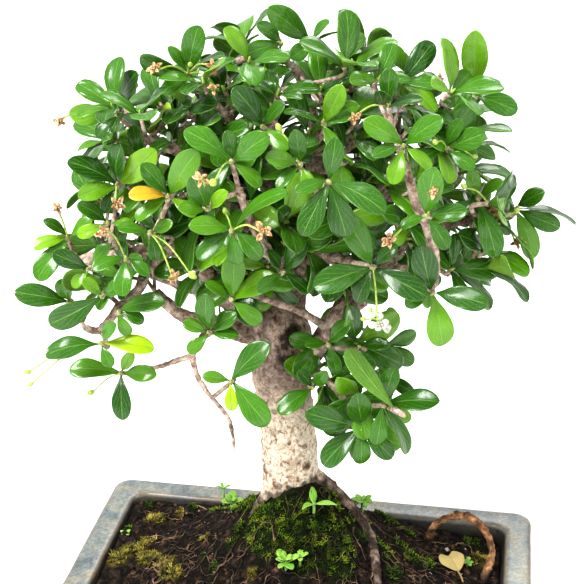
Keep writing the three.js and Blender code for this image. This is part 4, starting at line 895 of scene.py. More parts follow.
ROOTLET = plain_grain("rootlet", 0.9, 0.006, [
    (0.32, (0.02, 0.014, 0.009)), (0.5, (0.07, 0.045, 0.028)), (0.7, (0.30, 0.19, 0.10))], 0.0003)
GREEN_MOSS = moss_material("green_moss", [(0.3, (0.028, 0.065, 0.003)), (0.48, (0.13, 0.24, 0.008)),
                                          (0.64, (0.42, 0.50, 0.03))])
GOLDEN_MOSS = moss_material("golden_moss", [(0.3, (0.12, 0.09, 0.010)), (0.48, (0.36, 0.29, 0.035)),
                                            (0.66, (0.66, 0.57, 0.14))])
GLAZE = glaze_material()


# The wood

LIMB_LINES = {name: [seen(point) for point in points] for name, (_, _, points) in LIMBS.items()}
WOOD_PLACES = [place for line in LIMB_LINES.values() for place in smoothed(line, 6)]


def from_trunk(x, y):
    """Distance of a place from the trunk's axis."""
    return math.hypot(x - TRUNK_PLACE.x, y - TRUNK_PLACE.y)


def trunk_radius(share):
    """Radius of the trunk at a share of its height, with a swelling at the fork and a tapered top."""
    body = between(TRUNK_FOOT_RADIUS, TRUNK_FORK_RADIUS, min(share * TRUNK_NARROWING, 1))
    fork = FORK_SWELLING * math.exp(-(((share - FORK_PLACE) / FORK_REACH) ** 2))
    return body + fork - TRUNK_TOP_TAPER * max(share - TOP_TAPER_FROM, 0) / (1 - TOP_TAPER_FROM)


def root_line(plan):
    """The route of a surface root over the soil."""
    points = []
    for right, front, lift in plan:
        place = TRUNK_PLACE + RIGHT * right * MM - BACK * front * MM
        points.append(Vector((place.x, place.y, soil_height(place.x, place.y) + lift * MM)))
    return points


def bark_relief(place):
    """How far the bark stands out at a place, and how much it is a knot there."""
    near = noise.voronoi(place / KNOT_SPACING)[0][0]
    knot = ramped(near, *KNOT_EDGE)
    crumbs = noise.fractal(place * CRINKLES.x, 0.7, 2.1, 4)
    crinkle = noise.turbulence(place * CRINKLES, 4, True) - CRINKLE_MEAN
    dimple = ramped(near, *KNOT_DIMPLE)
    out = CRUMB_RELIEF * crumbs + CRINKLE_RELIEF * crinkle + KNOT_RELIEF * knot - DIMPLE_RELIEF * dimple
    return out, knot


def roughen_bark(mesh):
    """Gives the skin its relief, and marks where it is knotty, dark, brown and soiled; dark also holds the
    painted shade of the hollow below the fork.
    """
    hollow = seen(BARK_HOLLOW)
    cream_top = seen(CREAM_TOP).z
    brown_from = seen(BROWN_FROM).z
    marks = {"knot": [], "dark": [], "brown": [], "soiled": []}
    moved = []
    for place, normal in [(vertex.co.copy(), vertex.normal.copy()) for vertex in mesh.vertices]:
        out, knot = bark_relief(place)
        aside = from_trunk(place.x, place.y)
        thick = ramped(aside, *THICK_WOOD)
        low = thick * ramped(place.z, brown_from, cream_top)
        over_soil = place.z - soil_height(place.x, place.y)
        root = ramped(aside, *BESIDE_TRUNK) * ramped(over_soil, *ROOT_LOW)
        ragged = over_soil + noise.noise(place / SOIL_LINE_STEP) * SOIL_LINE_RISE
        from_hollow = (place - hollow).length
        marks["knot"].append(knot * between(KNOTS_ON_LIMBS, 1, low))
        # Painted shade in the hollow below the fork joins the darker limbs and roots
        marks["dark"].append(min(1, DARK_ON_LIMBS * (1 - low) + ramped(from_hollow, *HOLLOW_SHADE) + root))
        marks["brown"].append(max(1 - low, root))
        marks["soiled"].append(max(SOILED_FOOT * ramped(ragged, *SOILED_LOW), SOILED_ROOT * root))
        calm = 1 - HOLLOW_SMOOTHNESS * ramped(from_hollow, *HOLLOW_CALM)
        broad = BROAD_RELIEF * thick * noise.noise(place / BROAD_FORMS)
        moved.extend(place + normal * (broad + out * between(RELIEF_ON_LIMBS, 1, low) * calm))
    mesh.vertices.foreach_set("co", moved)
    mesh.update()
    for name, values in marks.items():
        mark(mesh, name, values)
    mesh.shade_smooth()


def make_wood():
    """The trunk, the surface roots and all limbs as one skin."""
    bm = bmesh.new()
    sweep(bm, smoothed([seen(point) for point in TRUNK_LINE], 5), trunk_radius, TRUNK_SIDES)
    for thick, thin, plan in ROOTS:
        sweep(bm, smoothed(root_line(plan), 4), lambda share: between(thick, thin, share) * MM, LIMB_SIDES)
    for name, (thick, thin, _) in LIMBS.items():
        limb_radius = lambda share: between(thick, thin, share ** LIMB_TAPER) * MM
        sweep(bm, smoothed(LIMB_LINES[name], 5), limb_radius, LIMB_SIDES)
    wood = piece_of("wood", bm, [BARK], ["tree"])
    remesh = wood.modifiers.new("skin", "REMESH")
    remesh.mode = "VOXEL"
    remesh.voxel_size = BARK_GRAIN
    settle(wood)
    roughen_bark(wood.data)


# The leaves

def neighbours(vert):
    return {edge.other_vert(vert) for edge in vert.link_edges}


def blades_of(node):
    """The blades of a packed spray. Each shows as a pair of rib points, one on each face, and a tip."""
    bm = bmesh.new()
    bm.from_mesh(NODES[node].data)
    bmesh.ops.remove_doubles(bm, verts=bm.verts, dist=SAME_POINT)
    bm.verts.ensure_lookup_table()
    tree = KDTree(len(bm.verts))
    for vert in bm.verts:
        tree.insert(vert.co, vert.index)
    tree.balance()
    blades = []
    for vert in bm.verts:
        for _, index, distance in tree.find_range(vert.co, RIB_THICKNESS * (1 + RIB_TOLERANCE)):
            other = bm.verts[index]
            if index <= vert.index or distance < RIB_THICKNESS * (1 - RIB_TOLERANCE):
                continue
            rims = neighbours(vert) & neighbours(other)
            if len(rims) in RIB_PLACES:
                blades.append(blade_from(vert.co.copy(), other.co.copy(), [rim.co.copy() for rim in rims]))
    bm.free()
    return blades


def arch_at(share):
    """How far a blade of unit length is arched at a place along it."""
    return 4 * BLADE_ARCH * share * (1 - share)


def blade_from(first, second, rims):
    """Foot, directions, length and half width of a blade from its rib points and the points of its rim."""
    share = RIB_PLACES[len(rims)]
    middle = (first + second) / 2
    normal = (first - second).normalized()
    if sum((rim - middle).dot(normal) for rim in rims) < 0:
        normal.negate()
    arch = arch_at(share)
    tip = max(rims, key=lambda rim: (rim - middle).length)
    length = (tip - middle).length / math.hypot(1 - share, arch)
    along = (tip - middle + normal * arch * length).normalized()
    side = along.cross(normal)
    half = max(abs((rim - middle).dot(side)) for rim in rims)
    return {"foot": tip - along * length, "tip": tip, "along": along, "normal": normal,
            "length": length * BLADE_SHORTENED, "half": half}


def blade_between(foot, tip, face, width):
    """A blade from its foot to its tip, which looks towards face."""
    along = (tip - foot).normalized()
    normal = (face - along * face.dot(along)).normalized()
    return {"foot": foot, "tip": tip, "along": along, "normal": normal, "length": (tip - foot).length,
            "half": width / 2}


def half_width(outline, share):
    """Half width of a leaf or petal against its greatest, by its outline."""
    for (start, narrow), (end, wide) in zip(outline, outline[1:]):
        if share <= end:
            return between(narrow, wide, (share - start) / (end - start))
    return outline[-1][1]


def tone_of(blade, draw):
    """How young a leaf looks, from 0 for old dark green to 1 for orange."""
    tip = as_seen(blade["tip"])
    for place, tone in ODD_LEAVES:
        if (tip - Vector(place)).length < ODD_LEAF_REACH and blade["normal"].dot(SIGHT) < TURNED_AWAY:
            return tone
    return draw.choice(LEAF_TONES)


def add_blade(bm, blade, draw, tone=0.5, outline=BLADE_OUTLINE, columns=4, fold=BLADE_FOLD, notch=0.0):
    """One leaf or petal: a sheet of a few dozen faces, shaped along its rib and folded, arched and waved."""
    rows = len(outline) - 1
    sheet = bmesh.ops.create_grid(bm, x_segments=columns, y_segments=rows, size=0.5, calc_uvs=True)["verts"]
    length, half = blade["length"], blade["half"]
    phase, curl = draw.uniform(*PHASES), draw.uniform(*BLADE_CURL)
    wave = draw.uniform(*BLADE_WAVE) * half
    tones = bm.verts.layers.float["tone"]
    for vert in sheet:
        share = outline[round((vert.co.y + 0.5) * rows)][0]
        out = vert.co.x * 2
        broad = half_width(outline, share) * half
        arch = length * (arch_at(share) - curl * max(share - CURL_FROM, 0) ** 2)
        cup = fold * broad * (abs(out) - FOLD_ROUNDING * abs(out) ** 3)
        ripple = wave * math.sin(share * RIPPLES + phase + 2 * out) * abs(out)
        cut = notch * length * share ** 3 * (1 - abs(out))
        vert.co = Vector((out * broad, share * length - cut, arch + cup + ripple))
        vert[tones] = tone
    side = blade["along"].cross(blade["normal"])
    turn = Matrix((side, blade["along"], blade["normal"])).transposed().to_4x4()
    bmesh.ops.transform(bm, matrix=Matrix.Translation(blade["foot"]) @ turn, verts=sheet)


def rosettes_of(blades):
    """Blades grouped by the hub that they stand on: each group's middle and axis."""
    groups = []
    for blade in blades:
        near = [group for group in groups if (group[0]["foot"] - blade["foot"]).length < HUB_REACH]
        if near:
            near[0].append(blade)
        else:
            groups.append([blade])
    hubs = []
    for group in groups:
        middle = sum((blade["foot"] for blade in group), Vector()) / len(group)
        axis = sum((blade["normal"] for blade in group), Vector()).normalized()
        hubs.append((middle, axis))
    return hubs


def nearest(places, place):
    return min(places, key=lambda other: (other - place).length)


def add_shoots(shoots, tips, hubs, spur=SPUR_LENGTH, radius=SHOOT_RADIUS):
    """A short shoot from the nearest wood, or from a sibling's knee, to each hub, and the bud at its end."""
    knees = []
    away = lambda hub: (nearest(WOOD_PLACES, hub[0]) - hub[0]).length
    swell = lambda share: radius * (1 + HUB_SWELLING * ramped(share, HUB_SWELLS_FROM, 1))
    taper = lambda share: TIP_BUD_RADIUS * (1 - TIP_BUD_TAPER * share ** 2)
    for middle, axis in sorted(hubs, key=away):
        knee = middle - axis * spur
        start = nearest(WOOD_PLACES + knees, knee)
        route = [start, knee, middle] if (knee - start).length > KNEE_ROOM else [start, middle]
        shoots.append(stem(smoothed(route, 4), swell, SHOOT_SIDES))
        tips.append(stem([middle + axis * reach * MM for reach in TIP_BUD_RINGS], taper, BUD_SIDES))
        knees.append(knee)


def new_sheets():
    """A bmesh whose points carry a tone, and whose faces have the coordinates of a leaf."""
    bm = bmesh.new()
    bm.verts.layers.float.new("tone")
    bm.loops.layers.uv.new("blade")
    return bm


def leaf_piece(name, bm, materials, replaces=(), thickness=BLADE_THICKNESS, rounder=0):
    """Makes a piece of thin sheets, gives them their thickness and rounds them."""
    leaves = finished(name, mesh_of(name, bm), materials, replaces)
    skin = leaves.modifiers.new("thickness", "SOLIDIFY")
    skin.thickness = thickness
    skin.offset = 0
    skin.material_offset = len(materials) - 1
    if rounder:
        finer = leaves.modifiers.new("roundness", "SUBSURF")
        finer.levels = finer.render_levels = rounder


def blade_points(blade):
    """Places on a blade that must keep clear of other leaves: its middle, its sides and its tip."""
    side = blade["along"].cross(blade["normal"]) * blade["half"] * CLEAR_ASIDE
    rise = blade["normal"] * blade["length"] * BLADE_ARCH
    line = [blade["foot"] + blade["along"] * blade["length"] * share + rise for share in CLEAR_ALONG]
    return line + [line[1] + side, line[1] - side]


def search_tree(places):
    tree = KDTree(len(places))
    for index, place in enumerate(places):
        tree.insert(place, index)
    tree.balance()
    return tree


def inside(edge, across, down):
    """Whether a point of the front view lies inside a closed outline."""
    within = False
    for (x1, y1), (x2, y2) in zip(edge, edge[1:] + edge[:1]):
        if (y1 > down) != (y2 > down) and across < x1 + (x2 - x1) * (down - y1) / (y2 - y1):
            within = not within
    return within


def round_axis(axis):
    """The directions at right angles to an axis, by their angle."""
    first = axis.orthogonal().normalized()
    second = axis.cross(first)
    return lambda angle: first * math.cos(angle) + second * math.sin(angle)


def leaf_rosette(middle, axis, count, length, draw):
    """Blades that spread from a hub round its axis."""
    outward = round_axis(axis)
    turn = draw.uniform(0, 2 * math.pi)
    blades = []
    for i in range(count):
        angle = turn + (i + astray(draw, ROSETTE_UNEVEN)) * 2 * math.pi / count
        spread = math.radians(draw.uniform(*ROSETTE_SPREAD))
        along = outward(angle) * math.sin(spread) + axis * math.cos(spread)
        reach = length * draw.uniform(*ROSETTE_REACH)
        foot = middle + along * LEAF_FOOT
        blades.append(blade_between(foot, foot + along * reach, axis, reach * draw.uniform(*LEAF_BREADTH)))
    return blades


def fill_crown(taken, shoots, tips, draw):
    """The many smaller rosettes between and behind the outer sprays."""
    core = seen(CROWN_CORE)
    spots = list(itertools.product(range(*FILL_ACROSS, FILL_STEP), range(*FILL_DOWN, FILL_STEP)))
    for number, (edge_points, toward, share, facing) in enumerate(FILL_LAYERS, 1):
        bm = new_sheets()
        edge = [tuple(between(c, p, share) for c, p in zip(CROWN_CENTRE, point)) for point in edge_points]
        for across, down in spots:
            spot = (across + astray(draw, FILL_SHIFT), down + astray(draw, FILL_SHIFT))
            middle = seen((*spot, toward + astray(draw, FILL_DEPTH_SHIFT)))
            shift = Vector([astray(draw, FILL_LEAN) for _ in range(3)])
            count, length = draw.choice(FILL_COUNTS), draw.uniform(*FILL_LENGTHS)
            if not inside(edge, *spot):
                continue
            axis = ((middle - core).normalized() + UP * FILL_RISE - SIGHT * facing + shift).normalized()
            tree = search_tree(taken)
            if tree.find(middle)[2] < LEAF_ROOM:
                continue
            blades = leaf_rosette(middle, axis, count, length, draw)
            kept = [b for b in blades if all(tree.find(p)[2] > LEAF_ROOM for p in blade_points(b))]
            if len(kept) < FEWEST_LEAVES:
                continue
            for blade in kept:
                add_blade(bm, blade, draw, tone=draw.choice(LEAF_TONES))
                taken += blade_points(blade)
            add_shoots(shoots, tips, [(middle, axis)], FILL_SPUR, FILL_SHOOT_RADIUS)
        leaf_piece(f"leaves_between_{number}", bm, [LEAF_TOP, LEAF_UNDER])


def make_sprays():
    """Each packed spray as fine leaves on its shoots, and the smaller rosettes among them. Gives the hubs."""
    draw = random.Random(11)
    hubs, shoots, tips, taken = [], [], [], []
    for node in sorted(name for name in NODES if name.startswith("spray_")):
        blades = blades_of(node)
        bm = new_sheets()
        for blade in blades:
            add_blade(bm, blade, draw, tone=tone_of(blade, draw))
            taken += blade_points(blade)
        name = node.replace("spray_", "leaves_")
        leaf_piece(name, bm, [LEAF_TOP, LEAF_UNDER], [node], rounder=0 if "inner" in node else 1)
        rosettes = rosettes_of(blades)
        hubs += [middle for middle, _ in rosettes]
        add_shoots(shoots, tips, rosettes)
    fill_crown(taken, shoots, tips, draw)
    skin = piece_of("shoots", gathered(shoots), [BARK]).data
    mark(skin, "brown", [1.0] * len(skin.vertices))
    piece_of("tip_buds", gathered(tips), [BUD_GREEN])
    return hubs


# Flowers and buds

def add_stalk(bm, start, end, radius, bow):
    """A thin stalk that bows upwards."""
    middle = (start + end) / 2 + UP * bow
    sweep(bm, smoothed([start, middle, end], 4), lambda share: radius, STALK_SIDES)


def add_flower(petals, greens, hubs, place, size, draw, outline=PETAL_OUTLINE, broad=PETAL_BREADTH):
    """A small five-petalled flower that faces the front, on a stalk with a green cup."""
    start = nearest(hubs, place)
    axis = (-SIGHT + UP * draw.uniform(*FLOWER_NOD) + RIGHT * astray(draw, FLOWER_TURN)).normalized()
    cup = place - axis * CUP_DEPTH
    add_stalk(greens, start, cup, FLOWER_STALK_RADIUS, FLOWER_STALK_BOW * (place - start).length)
    rings = [cup + axis * reach * MM for reach in CUP_RINGS]
    sweep(greens, rings, lambda share: between(*CUP_RADII, share), CUP_SIDES)
    outward_at = round_axis(axis)
    turn = draw.uniform(*PHASES)
    for i in range(PETALS):
        outward = outward_at(turn + i * 2 * math.pi / PETALS + astray(draw, PETAL_UNEVEN))
        along = (outward + axis * draw.uniform(*PETAL_RISE)).normalized()
        reach = size * MM * draw.uniform(*PETAL_REACH)
        foot = place + outward * PETAL_FOOT
        face = axis + outward * astray(draw, PETAL_TILT)
        petal = blade_between(foot, foot + along * reach, face, reach * broad)
        add_blade(petals, petal, draw, outline=outline, fold=draw.uniform(*PETAL_FOLD))
        tip = place + (along + axis * INNER_PETAL_RISE).normalized() * reach * INNER_PETAL_LENGTH
        inner = blade_between(place, tip, outward, reach * broad * INNER_PETAL_BREADTH)
        add_blade(petals, inner, draw, outline=outline, columns=2, fold=draw.uniform(*INNER_PETAL_FOLD))
        sepal = blade_between(cup, cup + (outward * 0.8 + axis * 0.6) * SEPAL_LENGTH, axis, SEPAL_WIDTH)
        add_blade(greens, sepal, draw, outline=LANCE_OUTLINE, columns=2)
    for i in range(STAMENS):
        lean = outward_at(i * STAMEN_STEP)
        sweep(petals, [place, place + (axis * 1.6 + lean * 0.5) * MM, place + (axis * 2.4 + lean) * MM],
              lambda share: STAMEN_RADIUS + STAMEN_KNOB * ramped(share, 0.6, 1), 4)


def make_flowers(hubs):
    """Dried flowers all over the crown, one fresh white flower, and green buds on their stalks."""
    draw = random.Random(23)
    dried, white, greens = new_sheets(), new_sheets(), new_sheets()
    for *spot, size in DRIED_FLOWERS:
        add_flower(dried, greens, hubs, seen(spot), size, draw)
    across, down, toward, size = WHITE_FLOWER
    fresh = seen((across, down, toward))
    add_flower(white, greens, hubs, fresh, size, draw, ROUND_OUTLINE, WHITE_PETAL_BREADTH)
    stalks = hubs + [seen((across, down - WHITE_FLOWER_CUP, toward))]
    for *spot, size in BUDS:
        place = seen(spot)
        start = nearest(stalks, place)
        add_stalk(greens, start, place, BUD_STALK_RADIUS, BUD_STALK_BOW * (place - start).length)
        away = (place - start + UP * BUD_RISE).normalized()
        plump = lambda share: size * MM * (0.16 + 0.24 * math.sin(math.pi * min(share * 1.05, 1)))
        route = [place + away * size * MM * step / BUD_RINGS for step in range(BUD_RINGS + 1)]
        sweep(greens, route, plump, 8)
    leaf_piece("dried_flowers", dried, [PETAL], thickness=PETAL_THICKNESS)
    leaf_piece("white_flower", white, [WHITE_PETAL], thickness=PETAL_THICKNESS)
    piece_of("buds_and_stalks", greens, [BUD_GREEN])


# Soil, moss and what grows in the pot

# Each mossy place: its middle, its radius, and 1 where the moss is golden
MOSS_PLACES = [(on_soil(across, down), radius * MM, 0) for across, down, radius in GREEN_PATCHES]
MOSS_PLACES += [(on_soil(across, down), radius * MM, 1) for across, down, radius in GOLDEN_PATCHES]
MOSS_PLACES += [(Vector((x, y, 0)) * MM, radius * MM, int(number % GOLDEN_EVERY == GOLDEN_EVERY - 1))
                for number, (x, y, radius) in enumerate(OTHER_PATCHES)]


def moss_at(x, y):
    """How mossy the soil is at a place, from 0 to 1, and whether the moss is golden."""
    cover, golden = 0, 0
    for place, radius, gold in MOSS_PLACES:
        share = ramped(math.hypot(x - place.x, y - place.y), radius * MOSS_EDGE, radius * MOSS_CORE)
        if share > cover:
            cover, golden = share, gold
    return cover, golden


def soil_top(x, y):
    """Height of the visible soil: crumbs and hollows, and cushions where there is moss."""
    inset = min(SOIL_HALF_LENGTH - abs(x), SOIL_HALF_DEPTH - abs(y))
    calm = ramped(inset, 0, CALM_AT_WALL)
    place = Vector((x, y, 0))
    lumps = LUMP_RELIEF * noise.fractal(place / LUMP_SIZE, 0.8, 2.1, 4) - LUMPS_SUNK
    cover, _ = moss_at(x, y)
    cushion = cover * (CUSHION_HEIGHT + CUSHION_UNEVEN * noise.noise(place / CUSHION_SIZE))
    bank = LEFT_BANK * ramped(x + 0.4 * y, *LEFT_BANK_REACH)
    return soil_height(x, y) + bank + lumps * between(LUMPS_AT_WALL, 1, calm) + cushion * calm


def within_walls(x, y, margin):
    return abs(x) <= SOIL_HALF_LENGTH - margin and abs(y) <= SOIL_HALF_DEPTH - margin


def clear_of_trunk(x, y):
    return from_trunk(x, y) > TRUNK_CLEARANCE


def make_soil():
    """The filled pot: a fine uneven surface, whose sides go down to the pot's floor."""
    bm = bmesh.new()
    bmesh.ops.create_grid(bm, x_segments=SOIL_COLUMNS, y_segments=SOIL_ROWS, size=1)
    across, back = SOIL_HALF_LENGTH, SOIL_HALF_DEPTH
    for vert in bm.verts:
        x, y = vert.co.x * across, vert.co.y * back
        beyond_x, beyond_y = abs(x) - (across - SOIL_CORNER), abs(y) - (back - SOIL_CORNER)
        if beyond_x > 0 and beyond_y > 0:
            squash = max(beyond_x, beyond_y) / math.hypot(beyond_x, beyond_y)
            x = math.copysign(across - SOIL_CORNER + beyond_x * squash, x)
            y = math.copysign(back - SOIL_CORNER + beyond_y * squash, y)
        vert.co = Vector((x, y, soil_top(x, y)))
    low, rim = grown_from(bm, [edge for edge in bm.edges if edge.is_boundary])
    for vert in low:
        vert.co.z = FLOOR_THICKNESS + SOIL_GAP
    taper = WALL_TAPER * (SOIL_LEVEL - FLOOR_THICKNESS) / (POT_HEIGHT - FLOOR_THICKNESS)
    bmesh.ops.scale(bm, vec=Vector((1 - taper / across, 1 - taper / back, 1)), verts=low)
    bmesh.ops.holes_fill(bm, edges=rim)
    soil = piece_of("earth", bm, [EARTH], ["soil"])
    covers = [moss_at(v.co.x, v.co.y) for v in soil.data.vertices]
    mark(soil.data, "moss", [cover * (1 - gold) for cover, gold in covers])
    mark(soil.data, "golden", [cover * gold for cover, gold in covers])


def moss_tuft(spikes, draw):
    """The mesh of a tuft of pointed leaflets that lean outwards, about one unit tall."""
    bm = bmesh.new()
    for i in range(spikes):
        lean = MIDDLE_LEAN if i == 0 else draw.uniform(*SPIKE_LEAN)
        angle = i * SPIKE_STEP + astray(draw, SPIKE_UNEVEN)
        size = draw.uniform(*SPIKE_LENGTH)
        turn = Matrix.Rotation(angle, 4, "Z") @ Matrix.Rotation(lean, 4, "Y")
        stand = turn @ Matrix.Translation((0, 0, size / 2)) @ Matrix.Diagonal((*SPIKE_SECTION, size, 1))
        bmesh.ops.create_cone(bm, cap_ends=True, segments=3, radius1=SPIKE_FOOT, radius2=SPIKE_TIP, depth=1,
                              matrix=stand)
    tuft = mesh_of("tuft", bm)
    mark(tuft, "tip", [vertex.co.length for vertex in tuft.vertices])
    return tuft


def crumb(draw):
    """The mesh of an uneven lump of earth, about one unit in radius."""
    bm = bmesh.new()
    bmesh.ops.create_icosphere(bm, subdivisions=1, radius=1)
    for vert in bm.verts:
        vert.co *= draw.uniform(*CRUMB_UNEVEN)
    return mesh_of("crumb", bm)


def scattered(meshes, stands):
    """A bmesh of small meshes that are repeated at their stands."""
    copies = []
    for index, stand in enumerate(stands):
        copy = meshes[index % len(meshes)].copy()
        copy.transform(stand)
        copies.append(copy)
    return gathered(copies)


def stand_at(x, y, size, draw, sink):
    """Where a small thing stands on the soil: upright to its slope, turned at random."""
    slope_x = (soil_height(x + SLOPE_STEP, y) - soil_height(x - SLOPE_STEP, y)) / (2 * SLOPE_STEP)
    slope_y = (soil_height(x, y + SLOPE_STEP) - soil_height(x, y - SLOPE_STEP)) / (2 * SLOPE_STEP)
    upward = Vector((-slope_x, -slope_y, UPRIGHTNESS)).normalized()
    turn = Matrix.Rotation(draw.uniform(*HEADINGS), 3, "Z").to_quaternion()
    place = Vector((x, y, soil_top(x, y) - sink))
    return Matrix.LocRotScale(place, upward.to_track_quat("Z", "Y") @ turn, size)


def make_moss():
    """Tufts on the mossy places, green and golden."""
    draw = random.Random(31)
    green_tufts = [moss_tuft(5, draw) for _ in range(4)]
    golden_tufts = [moss_tuft(6, draw) for _ in range(3)]
    stands = ([], [])
    for place, radius, golden in MOSS_PLACES:
        for _ in range(round(radius * radius * TUFTS_PER_AREA[golden])):
            angle, reach = draw.uniform(0, 2 * math.pi), radius * MOSS_REACH * math.sqrt(draw.random())
            x, y = place.x + reach * math.cos(angle), place.y + reach * math.sin(angle)
            size = draw.uniform(*TUFT_HEIGHT)
            ragged = radius * (MOSS_MIDDLE + MOSS_RAGGED * noise.noise(Vector((x, y, 0)) * MOSS_RAGS))
            if within_walls(x, y, TUFT_MARGIN) and clear_of_trunk(x, y) and reach <= ragged:
                stands[golden].append(stand_at(x, y, Vector.Fill(3, size), draw, TUFT_SUNK))
    piece_of("green_moss", scattered(green_tufts, stands[0]), [GREEN_MOSS])
    piece_of("golden_moss", scattered(golden_tufts, stands[1]), [GOLDEN_MOSS])


def make_crumbs():
    """Lumps of earth and a few pale grains over the bare soil."""
    draw = random.Random(37)
    crumbs = [crumb(draw) for _ in range(6)]
    dark, pale = [], []
    while len(dark) < CRUMB_COUNT:
        x = draw.uniform(-1, 1) * (SOIL_HALF_LENGTH - CRUMB_MARGIN)
        y = draw.uniform(-1, 1) * (SOIL_HALF_DEPTH - CRUMB_MARGIN)
        size = SMALLEST_CRUMB + CRUMB_RANGE * draw.random() ** 3
        flat = Vector((size * draw.uniform(0.8, 1.6), size, size * draw.uniform(0.6, 1)))
        if moss_at(x, y)[0] < BARE_BELOW and clear_of_trunk(x, y):
            stand = stand_at(x, y, flat, draw, size * CRUMB_SUNK)
            (pale if draw.random() < PALE_SHARE else dark).append(stand)
    piece_of("crumbs", scattered(crumbs, dark), [CRUMB])
    piece_of("pale_grains", scattered(crumbs, pale), [PALE_GRAIN])


def make_rootlets():
    """Fine curly roots that lie over the soil."""
    draw = random.Random(41)
    rootlets = []
    for _ in range(ROOTLET_COUNT):
        x = draw.uniform(-1, 0.9) * ROOTLET_HALF_LENGTH
        y = draw.uniform(-1, 1) * ROOTLET_HALF_DEPTH
        heading, bend = draw.uniform(*HEADINGS), astray(draw, ROOTLET_BEND)
        thickness, step = draw.choice(ROOTLET_RADII), draw.uniform(*ROOTLET_STEPS)
        route = []
        for k in range(ROOTLET_POINTS):
            if not (within_walls(x, y, ROOTLET_MARGIN) and clear_of_trunk(x, y)):
                break
            arch = math.sin(math.pi * k / (ROOTLET_POINTS - 1)) * draw.random()
            route.append(Vector((x, y, soil_top(x, y) + ROOTLET_LIFT + ROOTLET_ARCH * arch)))
            heading += bend + astray(draw, ROOTLET_CURL)
            x, y = x + math.cos(heading) * step, y + math.sin(heading) * step
        if len(route) >= FEWEST_ROOTLET_POINTS:
            taper = lambda share: thickness * (1 - ROOTLET_TAPER * share)
            rootlets.append(stem(smoothed(route, 2), taper, ROOTLET_SIDES))
    piece_of("rootlets", gathered(rootlets), [ROOTLET])


def make_arched_root():
    """The rough root that arches out of the soil and back into it."""
    first, last = on_soil(*ARCH[0]), on_soil(*ARCH[-1])
    toward_of = lambda place: (TRUNK_PLACE - place).dot(BACK) / MM
    points = []
    for i, (across, down) in enumerate(ARCH):
        toward = between(toward_of(first), toward_of(last), i / (len(ARCH) - 1))
        points.append(seen((across, down, toward)))
    points = [first - UP * ARCH_SUNK] + points + [last - UP * ARCH_SUNK]
    bm = bmesh.new()
    swells = lambda share: ARCH_RADIUS * (1 - ARCH_SWELLING + ARCH_SWELLING * math.sin(share * ARCH_SWELLS))
    sweep(bm, smoothed(points, 13), swells, ARCH_SIDES)
    for vert in bm.verts:
        place = vert.co
        fine = place / ARCH_FINE_LUMPS
        rough = noise.fractal(place / ARCH_LUMPS, 0.7, 2.2, 4)
        vert.co = place + Vector((noise.noise(fine), noise.noise(fine + UP), rough)) * ARCH_ROUGHNESS
    root = piece_of("rough_root", bm, [ROOT_BARK], ["arched_root"])
    soiled = []
    for vertex in root.data.vertices:
        place = vertex.co
        over_soil = place.z - soil_top(place.x, place.y) + noise.noise(place / ARCH_LUMPS) * ARCH_SOIL_LINE
        soiled.append(SOILED_ARCH * ramped(over_soil, *ARCH_SOILED_LOW))
    mark(root.data, "soiled", soiled)


def make_herbs():
    """The seedling and the small weeds, each a stalk with a rosette of tender leaves."""
    draw = random.Random(43)
    for name, place, stalk, layers, outline, nodes in HERBS:
        bm = new_sheets()
        foot = on_soil(*place)
        top = foot + UP * stalk * MM
        sweep(bm, [foot - UP * HERB_SUNK, foot, (foot + top) / 2, top], lambda share: HERB_STALK_RADIUS, 6)
        for number, (count, turn, length, broad, rise) in enumerate(layers):
            start = top + UP * HERB_LAYER * (number - 1)
            for i in range(count):
                angle = math.radians(turn + i * 360 / count + astray(draw, HERB_UNEVEN))
                reach = length * MM * draw.uniform(*HERB_REACH)
                lift = rise + draw.uniform(*HERB_LIFT)
                along = Vector((math.cos(angle), math.sin(angle), lift)).normalized()
                width = reach * broad * draw.uniform(*HERB_BREADTH)
                blade = blade_between(start, start + along * reach, UP, width)
                add_blade(bm, blade, draw, draw.uniform(*HERB_TONES), outline)
        leaf_piece(name, bm, [YOUNG_LEAF], nodes, thickness=HERB_THICKNESS)


def make_fallen_leaf():
    """The dry leaf that lies on the soil, with its tip notched and its stalk towards the front."""
    bm = new_sheets()
    middle = on_soil(*FALLEN_LEAF_PLACE)
    along = (BACK * 0.95 - RIGHT * 0.3 + UP * 0.1).normalized()
    foot = middle - along * FALLEN_LEAF_LENGTH / 2 + UP * FALLEN_LEAF_LIFT
    tip = foot + along * FALLEN_LEAF_LENGTH
    blade = blade_between(foot, tip, UP - BACK * 0.4, FALLEN_LEAF_LENGTH * FALLEN_LEAF_BREADTH)
    add_blade(bm, blade, random.Random(47), outline=HEART_OUTLINE, columns=8, notch=FALLEN_LEAF_NOTCH)
    stalk = [foot + along * 0.001, foot - along * 0.004, foot - along * 0.007 - UP * 0.0016]
    sweep(bm, smoothed(stalk, 3), lambda share: FALLEN_STALK_RADIUS, 6)
    leaf_piece("dry_leaf", bm, [DRY_LEAF], ["fallen_leaf"], FALLEN_LEAF_THICKNESS, rounder=1)


# The pot

